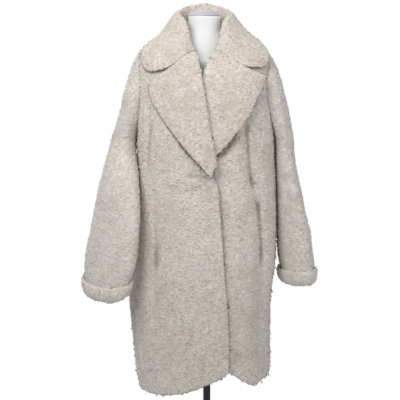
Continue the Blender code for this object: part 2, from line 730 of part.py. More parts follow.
def sleeve(side, edges):
    """A sleeve's outer and inner points and its directions outward."""
    grid, angle = sleeve_grid(side, edges)

    def outward():
        low = SLEEVE_ROWS + 1
        around = np.gradient(grid, axis=1)
        around[:low, 0] = around[:low, -1] = (grid[:low, 1] - grid[:low, -2]) / 2
        found = unit(np.cross(around, np.gradient(grid, axis=0)))
        if found[0, SLEEVE_SIDES // 2, 0] * side < 0:
            found = -found
        found[-1] = unit(np.array([side * 0.45, 0.0, 0.9]))
        return found

    depth = sleeve_fold_depth(angle[None, :], grid[..., 2])
    depth[0] = 0.0
    depth[SLEEVE_ROWS + 1 :] *= np.sin(np.linspace(0, math.pi, SLEEVE_SIDES + 1))
    depth[-1] = 0.0
    grid += outward() * depth[..., None]
    # the lowest stretch is straight, so that the cuff lies on it evenly
    down = unit(grid[0] - grid[1])
    normal = outward()
    grid[1] = grid[0] - down * CUFF_DEPTH
    normal[1] = normal[0]
    inner = grid - normal * WALL
    for column, (outer_edge, inner_edge, _) in ((0, edges[0]), (-1, edges[1])):
        grid[SLEEVE_ROWS:, column] = outer_edge
        inner[SLEEVE_ROWS:, column] = inner_edge
    inner[-1] = (edges[0][1][-1] + edges[1][1][-1]) / 2
    share = np.linspace(0, 1, SLEEVE_SIDES + 1)[:, None]
    for row, part in ((-5, 0.3), (-4, 0.7), (-3, 1.0), (-2, 1.0)):
        # near the tip the wall is as thick as it is at the armhole, measured the same way
        steps = [found[1][row] - found[0][row] for found in edges]
        level = grid[row] + steps[0] * (1 - share) + steps[1] * share
        inner[row] = inner[row] * (1 - part) + level * part
    return grid, inner, normal, down


def settle_sleeve(grid, inner, blocks):
    """Moves the hanging part of a sleeve off the body where they would touch."""
    for _ in range(4):
        for i in range(SLEEVE_ROWS):
            for j in range(SLEEVE_SIDES + 1):
                step = clearing_step(grid[i, j], blocks, 2.5 * PLY_GAP)
                grid[i, j] += step
                inner[i, j] += step


def sew_sleeve(name, grid, inner, edges, finish):
    """The sleeve's closed wall. Below the underarm the first and last columns are one."""
    outer, inner = grid.copy(), inner.copy()
    for column, (_, _, step) in ((0, edges[0]), (-1, edges[1])):
        outer[SLEEVE_ROWS:, column] += step
        inner[SLEEVE_ROWS:, column] += step
    for points in (outer, inner):
        for row in (SLEEVE_ROWS, -1):
            points[row, 0] = points[row, -1] = (points[row, 0] + points[row, -1]) / 2
    outer[-1], inner[-1] = outer[-1, 0], inner[-1, 0]
    rows, columns = outer.shape[:2]
    vertices = np.concatenate([outer.reshape(-1, 3), inner.reshape(-1, 3)])
    number = np.arange(rows * columns).reshape(rows, columns)
    number[: SLEEVE_ROWS + 1, -1] = number[: SLEEVE_ROWS + 1, 0]
    number[-1] = number[-1, 0]
    half = rows * columns
    faces = []
    for i in range(rows - 1):
        for j in range(columns - 1):
            quad = [number[i, j], number[i, j + 1], number[i + 1, j + 1], number[i + 1, j]]
            loop = list(dict.fromkeys(int(n) for n in quad))
            faces.append(tuple(loop))
            faces.append(tuple(n + half for n in reversed(loop)))
    rim(faces, vertices, number[0], number[0] + half)
    for column in (0, -1):
        line = number[SLEEVE_ROWS:, column]
        rim(faces, vertices, line, line + half)
    faces = [tuple(int(n) for n in face) for face in faces]
    return add_object(name, vertices, faces, finish)


def cuff(name, grid, normal, down, finish):
    """The turned-back end: a ring round the sleeve's end that also covers its raw edge."""
    end, out_of, past = grid[0, :-1], normal[0, :-1], down[:-1]
    along, out = CUFF_SECTION["along"], CUFF_SECTION["out"]
    count, steps = len(end), len(along)
    points = np.array([end + past * a + out_of * o for a, o in zip(along, out)])
    number = np.arange(steps * count).reshape(steps, count)
    faces = []
    for i in range(steps):
        for j in range(count):
            i2, j2 = (i + 1) % steps, (j + 1) % count
            quad = (number[i, j], number[i2, j], number[i2, j2], number[i, j2])
            faces.append(tuple(int(n) for n in quad))
    return add_object(name, points.reshape(-1, 3), faces, finish)


# ---------------------------------------------------------------- clearing plies off each other


def tree_of(made):
    """The closed surface of a piece that is built, with its faces outward."""
    mesh = made.data
    return BVHTree.FromPolygons(
        [v.co.copy() for v in mesh.vertices], [tuple(f.vertices) for f in mesh.polygons]
    )


def clearing_step(point, blocks, gap, skin=None):
    """How a point moves so that it is at least the gap outside every block, and above the skin."""
    step = np.zeros(3)
    if skin:
        place, normal, _, far = skin.find_nearest(Vector(point))
        off = (Vector(point) - place).dot(normal)
        if off < gap and abs(off) > 0.8 * far:
            step += np.array(normal) * (gap - off)
    for tree in blocks:
        place, normal, _, far = tree.find_nearest(Vector(point + step), 0.03)
        if place is None:
            continue
        away = Vector(point + step) - place
        if away.dot(normal) < 0:
            step += np.array(normal) * (gap + far)
        elif far < gap:
            heading = away.normalized() if far > 1e-5 else normal
            step += np.array(heading) * (gap - far)
    return step


def settle(face, under, blocks, skin=None, gap=PLY_GAP, fixed_rows=(), first_column=0, rounds=6):
    """Moves a ply off the pieces that it lies on, at its points, its edges' middles and its
    faces' middles. Fixed rows and the columns before first_column stay."""
    rows, columns = under.shape[:2]
    free = np.ones((rows, columns), bool)
    free[list(fixed_rows)] = False
    free[:, :first_column] = False
    for _ in range(rounds):
        moved = np.zeros_like(under)
        for i in range(rows):
            for j in range(columns):
                for di, dj in ((0, 0), (1, 0), (0, 1), (1, 1)):
                    i2, j2 = min(i + di, rows - 1), min(j + dj, columns - 1)
                    corners = {(i, j), (i2, j), (i, j2), (i2, j2)}
                    if not all(free[c] for c in corners):
                        continue
                    middle = sum(under[c] for c in corners) / len(corners)
                    step = clearing_step(middle, blocks, gap, skin)
                    size = np.linalg.norm(step)
                    if size == 0:
                        continue
                    for c in corners:
                        if size > np.linalg.norm(moved[c]):
                            moved[c] = step
        if not moved.any():
            break
        face += moved
        under += moved


# ---------------------------------------------------------------- lapels and collar


def lapel_ways(side, outer):
    """In the front view, the points across a lapel from the panel's edge to its own free edge.
    There is a row for each of the panel's rows above the break, from the gorge down."""
    sizes = LAPEL_RIGHT if side < 0 else LAPEL_LEFT
    notch = np.array(NOTCH_RIGHT if side < 0 else NOTCH_LEFT)
    column = -1 if side < 0 else 0
    starts = outer[:, column][::-1]
    starts = starts[starts[:, 2] > sizes["roll_z"][-1] - 0.004]
    shares = np.array(FACE_SHARES)
    turn = shares[NOTCH_ROW - WRAP_ROWS]
    ways = []
    for k, start in enumerate(starts[:, [0, 2]]):
        edge = np.array(
            [curve(sizes["roll_z"][::-1], sizes[n][::-1], start[1]) for n in ("edge_x", "edge_z")]
        )
        if k == 0:
            first = [start + (notch - start) * s / turn for s in shares if s <= turn]
            rest = [notch + (edge - notch) * (s - turn) / (1 - turn) for s in shares if s > turn]
            ways.append(first + rest)
        else:
            ways.append([start + (edge - start) * s for s in shares])
    return np.array(ways)


def lapel_stand_off(side, x, z):
    """How far a lapel's free part stands off what it lies on."""
    if side < 0:
        edge = curve(LAPEL_RIGHT["edge_z"][::-1], LAPEL_RIGHT["edge_x"][::-1], z)
        return 0.004 * (1 - ease(x - edge, 0.0, 0.055))
    shown_from = curve(LAPEL_RIGHT["roll_z"][::-1], LAPEL_RIGHT["roll_x"][::-1], z) + 0.014
    edge = curve(LAPEL_LEFT["edge_z"][::-1], LAPEL_LEFT["edge_x"][::-1], z)
    edge_share = np.clip((x - shown_from) / np.maximum(edge - shown_from, 0.02), 0, 1)
    return 0.013 * ease(edge_share, 0.0, 1.0) * ease(z, 1.060, 1.120)


def lapel(side, panel, blocks):
    """A lapel's visible face and under face as points. It wraps round the panel's edge, whose
    rows it shares, and lies on what is there."""
    outer, inner = panel
    hem = hem_right if side < 0 else hem_left
    ways = lapel_ways(side, outer)
    count, across = ways.shape[:2]
    flat = ways.reshape(-1, 2)
    grids = []
    for own in (PLY, PLY_GAP):
        lift = own + lapel_stand_off(side, flat[:, 0], flat[:, 1])
        if side < 0:
            lift = lift + over_lift(flat[:, 0], flat[:, 1])
        grids.append(front_place(flat[:, 0], flat[:, 1], hem, lift)[0].reshape(count, across, 3))
    column, beside = (-1, -2) if side < 0 else (0, 1)
    edge, edge_inner = (points[:, column][::-1][:count] for points in panel)
    out = unit(edge - edge_inner)
    off = edge - outer[:, beside][::-1][:count]
    off = unit(off - out * np.sum(off * out, axis=1, keepdims=True))
    wraps = []
    for section in (WRAP_FACE, WRAP_UNDER):
        wraps.append(np.stack([edge + off * o + out * n for o, n in section], axis=1))
    face, under = (np.concatenate([wrap, grid], axis=1) for wrap, grid in zip(wraps, grids))
    settle(face, under, blocks, first_column=WRAP_ROWS)
    return face, under


def smooth_path(points, at):
    """A rounded curve through a few points, read at places where point k is at k."""
    points = np.asarray(points, float)
    ends = np.concatenate([[2 * points[0] - points[1]], points, [2 * points[-1] - points[-2]]])
    k = np.clip(np.floor(at).astype(int), 0, len(points) - 2)
    s = (np.asarray(at) - k)[:, None]
    a, b, c, d = ends[k], ends[k + 1], ends[k + 2], ends[k + 3]
    return 0.5 * (
        2 * b + (c - a) * s + (2 * a - 5 * b + 4 * c - d) * s**2 + (3 * b - a - 3 * c + d) * s**3
    )


def collar_controls(side, place, gorge_face, corner):
    """The crest, the fall's middle and the edge of the collar at a place from gorge to nape."""
    sizes = COLLAR_RIGHT if side < 0 else COLLAR_LEFT
    first = {
        "crest": (gorge_face[2] + gorge_face[3]) / 2,
        "mid": gorge_face[NOTCH_ROW],
        "edge": corner[-1],
    }
    known = np.concatenate([[0.0], sizes["place"]])
    found = []
    for name in ("crest", "mid", "edge"):
        found.append(
            np.array(
                [
                    curve(known, np.concatenate([[first[name][i]], sizes[f"{name}_{axis}"]]), place)
                    for i, axis in enumerate("xyz")
                ]
            )
        )
    return found


def skin_tree(grids):
    """The outer faces of the panels, to lay the collar on."""
    vertices, faces = [], []
    for points, flip in grids:
        rows, columns = points.shape[:2]
        start = len(vertices)
        vertices.extend(Vector(p) for p in points.reshape(-1, 3))
        for i in range(rows - 1):
            for j in range(columns - 1):
                a = start + i * columns + j
                quad = [a, a + 1, a + columns + 1, a + columns]
                faces.append(quad[::-1] if flip else quad)
    return BVHTree.FromPolygons(vertices, faces)


def lay_on(tree, face, under, gap, hold):
    """Moves a ply's point so that its underside clears what it lies on. hold, 0 to 1, seats it."""
    place, normal, _, _ = tree.find_nearest(Vector(under))
    off = float((Vector(under) - place).dot(normal))
    wanted = gap if off < gap else off * (1 - hold) + gap * hold
    step = np.array(normal) * (wanted - off)
    return face + step, under + step


def collar(grids, gorges):
    """The collar's faces: rows from the right gorge round the nape to the left gorge."""
    order = ("front_right", "back", "front_left")
    lines = []
    for layer, row in ((0, -1), (1, -1), (0, -2)):
        # the neckline from the right front's edge round the back to the left front's edge
        parts = [grids[name][layer][row][::-1] for name in order]
        line = np.concatenate([parts[0], parts[1][1:-1], parts[2]])
        lines.append(np.delete(line, (1, len(line) - 2), axis=0))
    outer_line, inner_line, below = lines
    up = unit(outer_line - below)
    outer_line, inner_line = outer_line + up * FOOT_GAP, inner_line + up * FOOT_GAP
    count = len(outer_line)
    station = np.arange(count)
    from_gorge = np.minimum(station, count - 1 - station)
    place = np.interp(from_gorge, [0, FRONT_COLUMNS - 1, (count - 1) / 2], [0, 0.5, 1])
    steps = np.array(COLLAR_STEPS)
    face = np.zeros((count, len(steps), 3))
    for k in range(count):
        side = -1 if k <= (count - 1) / 2 else 1
        gorge_face, _, corner, _ = gorges[side]
        crest, mid, edge = collar_controls(side, place[k], gorge_face, corner)
        foot = inner_line[k]
        outward = unit((mid - foot) * (1, 1, 0))
        width = CREST_HALF * min(1.0, 4 * place[k])
        crest_in = crest - outward * 0.4 * width
        crest_out = crest + outward * 1.6 * width - np.array([0, 0, 0.2 * width])
        stand = foot * 0.45 + crest_in * 0.55
        neck = np.array([FORM_X, 0.0, stand[2]])
        stand = stand + unit(neck - stand) * 0.004 * min(1.0, 4 * place[k])
        face[k] = smooth_path([foot, stand, crest_in, crest_out, mid, edge], steps)
    normal = grid_normals(face)
    if normal[count // 2, -2, 1] < 0:
        normal = -normal
    under = face - normal * WALL
    for k in range(1, count - 1):
        under[k, 0] = outer_line[k]
        across = unit((face[k, 6] - face[k, 0]) * (1, 1, 0))
        for _ in range(3):
            for j in (1, 2, 3):
                short = COLLAR_HEART - np.dot(under[k, j + 1] - under[k, j], across)
                if short > 0:
                    under[k, j] -= across * short / 2
                    under[k, j + 1] += across * short / 2
    for side, k in ((-1, 0), (1, count - 1)):
        gorge_face, gorge_under, corner, corner_under = gorges[side]
        face[k], under[k] = gorge_face, gorge_under
        face[k, NOTCH_ROW + 1 :] = corner
        under[k, NOTCH_ROW + 1 :] = corner_under
        # the foot turns sharply here, from across the front to along it, so its corner is set back
        face[k, 0, 1] += 0.005
        for points in (face, under):
            whole = points[k - side * GORGE_STATIONS, 1:]
            for i in range(1, GORGE_STATIONS):
                share = i / GORGE_STATIONS
                points[k - side * i, 1:] = points[k, 1:] * (1 - share) + whole * share
    skin = skin_tree([(grids[name][0], False) for name in order])
    settle(face, under, [], skin, 2 * PLY_GAP, fixed_rows=(0, count - 1), first_column=4)
    return face, under


def collar_corner(side):
    """The collar's free end past the notch, visible and under."""
    places = np.array(COLLAR_CORNER_RIGHT if side < 0 else COLLAR_CORNER_LEFT)
    hem = hem_right if side < 0 else hem_left
    x, z = places[:, 0], places[:, 1]
    made = []
    for own in (PLY, PLY_GAP):
        lift = np.full(len(x), own + 0.003)
        if side < 0:
            lift = lift + over_lift(x, z)
        made.append(front_place(x, z, hem, lift)[0])
    return made


# ---------------------------------------------------------------- the form


def torso(grids, finish):
    """A smooth torso whose shoulders carry the coat, with its neck."""
    lining = skin_tree([(grids[name][1], True) for name in ("front_right", "front_left", "back")])
    turn = np.linspace(0, 2 * math.pi, FORM_SIDES, endpoint=False)
    turn = (turn + math.pi) % (2 * math.pi) - math.pi
    c, s = np.cos(turn), np.sin(turn)
    rings = []
    for i in range(len(TORSO["z"])):
        deep = np.where(s < 0, TORSO["front_y"][i], TORSO["back_y"][i])
        level = np.full(len(turn), TORSO["z"][i])
        rings.append(np.stack([FORM_X + TORSO["half_x"][i] * c, deep * s, level], -1))
    for height, inset in ((1.334, 0.016), (1.351, 0.004), (1.366, 0.0), (1.376, 0.005)):
        point, normal = body_point(turn, np.full(len(turn), height), hem_back)
        clear = WALL + SEAT_GAP + inset + 0.020 * s * s
        ring = point - normal * clear[:, None]
        seated = 1.0 if inset == 0.0 else 0.0
        for j in range(len(ring)):
            hold = seated * (abs(s[j]) < 0.2)
            ring[j] = lay_on(lining, ring[j], ring[j], SEAT_GAP, hold)[0]
        rings.append(ring)
    for radius, z in ((0.0520, 1.385), (0.0465, 1.401), (NECK_RADIUS, NECK_TOP)):
        level = np.full(len(turn), z)
        rings.append(np.stack([FORM_X + radius * c, radius * s, level], -1))
    return closed_rings("form_torso", np.array(rings), finish)


def closed_rings(name, rings, finish):
    """A solid through rings, with a flat fan at each end."""
    count = rings.shape[1]
    vertices = list(rings.reshape(-1, 3))
    faces = []
    for i in range(len(rings) - 1):
        for j in range(count):
            j2 = (j + 1) % count
            faces.append((i * count + j, i * count + j2, (i + 1) * count + j2, (i + 1) * count + j))
    for i in (0, len(rings) - 1):
        vertices.append(rings[i].mean(axis=0))
        for j in range(count):
            faces.append((len(vertices) - 1, i * count + j, i * count + (j + 1) % count))
    return add_object(name, vertices, faces, finish)


def turned(name, centre_x, profile, finish):
    """A round solid from a table of radius and height, bottom to top."""
    turn = np.linspace(0, 2 * math.pi, FORM_SIDES, endpoint=False)
    rings = [
        np.stack(
            [centre_x + radius * np.cos(turn), radius * np.sin(turn), np.full(len(turn), z)], -1
        )
        for radius, z in profile
    ]
    return closed_rings(name, np.array(rings), finish)


def stand(grids, white, grey, black):
    torso(grids, white)
    bottom = NECK_TOP + SEAM_GAP
    dome = [
        (NECK_RADIUS * math.cos(a), bottom + CAP_RISE * math.sin(a))
        for a in (math.radians(d) for d in (0, 22, 45, 68, 84))
    ]
    turned("form_cap", FORM_X, dome, grey)
    pole = [(POLE_RADIUS, BASE_HEIGHT + SEAM_GAP), (POLE_RADIUS, TORSO_BOTTOM - SEAM_GAP)]
    turned("form_pole", POLE_X, pole, black)
    base = [
        (BASE_RADIUS, 0.0),
        (BASE_RADIUS, 0.006),
        (BASE_RADIUS - 0.004, 0.009),
        (0.060, 0.012),
        (0.024, BASE_HEIGHT),
    ]
    turned("form_base", POLE_X, base, black)


# ---------------------------------------------------------------- the whole part


def coat(plush, plush_collar, plush_sleeve):
    grids = {"front_right": front(-1), "front_left": front(1), "back": back()}
    trees = {}
    for name, edges in (
        ("front_right", ("first column", "last row")),
        ("front_left", ("last column", "last row")),
        ("back", ("first column", "last column", "last row")),
    ):
        outer, inner = part_edges(*grids[name], edges, body=True)
        trees[name] = tree_of(shell(name, outer, inner, plush))
    for side, word in ((-1, "right"), (1, "left")):
        edges = armhole_edges(side, grids[f"front_{word}"], grids["back"])
        outer, inner, normal, down = sleeve(side, edges)
        settle_sleeve(outer, inner, [trees[f"front_{word}"], trees["back"]])
        sew_sleeve(f"sleeve_{word}", outer, inner, edges, plush_sleeve)
        cuff(f"cuff_{word}", outer, normal, down, plush_sleeve)
    gorges = {}
    for side, word in ((1, "left"), (-1, "right")):
        face, under = lapel(side, grids[f"front_{word}"], [trees[f"front_{word}"]])
        corner, corner_under = collar_corner(side)
        gorges[side] = (face[0].copy(), under[0].copy(), corner, corner_under)
        face, under = part_edges(face, under, ("first row",))
        shell(f"lapel_{word}", face, under, plush_collar)
    face, under = collar(grids, gorges)
    face, under = part_edges(face, under, ("first row", "last row"))
    shell("collar", face, under, plush_collar)
    return grids


def centre_on_box():
    """Moves the whole part so that its box stands centred on the origin."""
    points = np.array([v.co for made in bpy.context.collection.objects for v in made.data.vertices])
    middle = (points.min(axis=0) + points.max(axis=0)) / 2
    for made in bpy.context.collection.objects:
        made.data.transform(Matrix.Translation((-middle[0], -middle[1], 0.0)))


def main():
    for old in list(bpy.data.objects):
        bpy.data.objects.remove(old)
    plush = material("plush", (0.62, 0.55, 0.47), 0.95)
    plush_collar = material("plush_collar", (0.66, 0.57, 0.47), 0.95)
    plush_sleeve = material("plush_sleeve", (0.60, 0.54, 0.47), 0.95)
    white = material("form_cover", (0.86, 0.86, 0.86), 0.6)
    grey = material("cap_finish", (0.62, 0.60, 0.64), 0.5)
    black = material("stand_paint", (0.02, 0.02, 0.022), 0.4)
    grids = coat(plush, plush_collar, plush_sleeve)
    stand(grids, white, grey, black)
    centre_on_box()


main()
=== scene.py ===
"""Faux fur coat on a dress form: the finish of the cloth, its pile and its folds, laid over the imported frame.

Metres, +Z up. The coat's front faces -Y, so the wearer's right is -X.
Each panel of the coat is made of two pieces: the backing, a soft shell on its solid's form with the creases
pressed in, and the pile, curled locks that grow out of the backing wherever it shows.
"""

import math
from collections import namedtuple

import bmesh
import bpy
import numpy as np
from bpy.props import FloatProperty, FloatVectorProperty, IntProperty, PointerProperty
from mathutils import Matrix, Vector, noise
from mathutils.bvhtree import BVHTree


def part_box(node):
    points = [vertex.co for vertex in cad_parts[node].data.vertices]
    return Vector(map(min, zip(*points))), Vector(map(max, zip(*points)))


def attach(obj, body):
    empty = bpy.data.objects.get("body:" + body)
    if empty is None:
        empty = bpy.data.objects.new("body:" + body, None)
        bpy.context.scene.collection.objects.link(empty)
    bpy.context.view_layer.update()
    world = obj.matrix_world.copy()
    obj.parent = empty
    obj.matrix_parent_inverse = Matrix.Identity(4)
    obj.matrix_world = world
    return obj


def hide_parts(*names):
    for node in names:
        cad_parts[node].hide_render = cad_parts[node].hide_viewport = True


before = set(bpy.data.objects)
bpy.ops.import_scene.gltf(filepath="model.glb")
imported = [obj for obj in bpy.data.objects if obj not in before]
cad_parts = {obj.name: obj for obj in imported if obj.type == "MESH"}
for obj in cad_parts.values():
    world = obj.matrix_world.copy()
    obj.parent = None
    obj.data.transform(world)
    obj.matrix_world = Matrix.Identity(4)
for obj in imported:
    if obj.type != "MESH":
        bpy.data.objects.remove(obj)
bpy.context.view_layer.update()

bl_info = {
    "name": "Faux fur coat",
    "version": (1, 0, 0),
    "blender": (4, 5, 0),
    "location": "View3D > Sidebar > Coat",
    "description": "Dresses the frame of a faux fur coat on a dress form",
    "category": "Object",
}

MM = 0.001
BODY = "root"

CLOTH_NODES = (
    "front_right", "front_left", "back", "sleeve_right", "sleeve_left",
    "cuff_right", "cuff_left", "lapel_right", "lapel_left", "collar",
)

# ------------------------------------------------------------------ sizes that a user would change

class CoatSizes(bpy.types.PropertyGroup):
    """Sizes and colours of the coat's pile"""

    pile_depth: FloatProperty(
        name="Pile depth", description="How far the backing lies under the tips of the pile",
        default=1.6 * MM, unit="LENGTH")
    lock_length: FloatProperty(
        name="Lock length", description="Length of one curled lock on the body",
        default=8.6 * MM, unit="LENGTH")
    lock_spacing: FloatProperty(
        name="Lock spacing", description="Least distance between two locks on the body",
        default=3.8 * MM, unit="LENGTH")
    seed: IntProperty(
        name="Seed", description="Where the locks fall", default=7)
    tip_colour: FloatVectorProperty(
        name="Tips", description="Cream of the lightest locks",
        default=(0.98, 0.96, 0.93), subtype="COLOR")
    body_colour: FloatVectorProperty(
        name="Body", description="Oatmeal of the body's pile",
        default=(0.87, 0.825, 0.77), subtype="COLOR")
    collar_colour: FloatVectorProperty(
        name="Collar", description="Warm beige of the collar and lapels",
        default=(0.705, 0.585, 0.50), subtype="COLOR")
    sleeve_colour: FloatVectorProperty(
        name="Sleeves", description="Greyer oatmeal of the sleeves",
        default=(0.745, 0.725, 0.685), subtype="COLOR")
    # Painted shade at the roots of the locks and on the backing that shows between them.
    root_shade_colour: FloatVectorProperty(
        name="Roots", description="Brown-grey down between the locks",
        default=(0.55, 0.49, 0.43), subtype="COLOR")
    # Painted shade: the dark colour the pile is mixed towards in crevices, in creases and towards the hem.
    painted_shade_colour: FloatVectorProperty(
        name="Crevices", description="Where the pile is pressed into a fold or under a lapel",
        default=(0.24, 0.20, 0.165), subtype="COLOR")
    warm_colour: FloatVectorProperty(
        name="Warm patches", description="Beige patches where the pile lies down",
        default=(0.73, 0.63, 0.545), subtype="COLOR")


class FormSizes(bpy.types.PropertyGroup):
    """Colours of the dress form and its stand"""

    jersey_colour: FloatVectorProperty(
        name="Jersey", description="White cover of the torso", default=(0.86, 0.86, 0.87), subtype="COLOR")
    cap_colour: FloatVectorProperty(
        name="Cap", description="Satin grey cap on the neck", default=(0.55, 0.53, 0.60), subtype="COLOR")
    stand_colour: FloatVectorProperty(
        name="Stand", description="Black powder coat", default=(0.018, 0.018, 0.02), subtype="COLOR")


class StageSizes(bpy.types.PropertyGroup):
    """Floor, light and camera"""

    floor_radius: FloatProperty(
        name="Floor radius", description="Half the width of the pale round floor", default=1.15, unit="LENGTH")
    key_power: FloatProperty(name="Key light", description="Power of the large soft light in watts", default=26.5)
    fill_power: FloatProperty(name="Fill light", description="Power of the far side's light in watts", default=13.0)
    sky: FloatProperty(name="Sky", description="Strength of the even white light all round", default=0.46)


# ------------------------------------------------------------------ tables

# One row for each panel of cloth. cut_width, cut_length: the flat piece's box; cut_area: its own flat area.
Panel = namedtuple("Panel", "node slot finish cut_width cut_length cut_area held rests_on")
PANELS = {
    panel.node: panel
    for panel in (
        Panel("front_right", "plush", "body", 0.38, 1.04, 0.315, "hung", "back"),
        Panel("front_left", "plush", "body", 0.36, 1.01, 0.285, "hung", "back"),
        Panel("back", "plush", "body", 0.62, 1.03, 0.520, "hung", "form_torso"),
        Panel("sleeve_right", "plush_sleeve", "sleeve", 0.44, 0.66, 0.225, "hung", "back"),
        Panel("sleeve_left", "plush_sleeve", "sleeve", 0.42, 0.66, 0.195, "hung", "back"),
        Panel("cuff_right", "plush_sleeve", "cuff", 0.46, 0.05, 0.0225, "folded", "sleeve_right"),
        Panel("cuff_left", "plush_sleeve", "cuff", 0.44, 0.05, 0.0210, "folded", "sleeve_left"),
        Panel("lapel_right", "plush_collar", "lapel", 0.18, 0.36, 0.046, "folded", "front_right"),
        Panel("lapel_left", "plush_collar", "lapel", 0.18, 0.33, 0.048, "folded", "front_left"),
        Panel("collar", "plush_collar", "collar", 0.72, 0.22, 0.132, "folded", "back"),
    )
}

# One row for each way the pile is finished. lock: length against the body's; spacing: distance against the
# body's; combed: 0 curls every way, 1 all lie downwards; lean: how far a lock stands off the cloth, in degrees;
# light: how many of the locks are cream; grain: how strong its relief is; warm: how much of it is in warm patches.
Finish = namedtuple("Finish", "colour lock spacing combed lean light grain warm")
FINISHES = {
    "body": Finish("body_colour", 0.95, 1.0, 0.10, 13.0, 0.40, 1.0, 0.70),
    "sleeve": Finish("sleeve_colour", 0.90, 1.0, 0.35, 9.0, 0.38, 0.8, 0.30),
    "cuff": Finish("sleeve_colour", 0.85, 1.0, 0.25, 10.0, 0.38, 0.8, 0.30),
    "lapel": Finish("collar_colour", 0.85, 0.95, 0.35, 9.0, 0.24, 0.8, 0.95),
    "collar": Finish("collar_colour", 0.85, 0.95, 0.35, 9.0, 0.00, 0.8, 1.00),
}
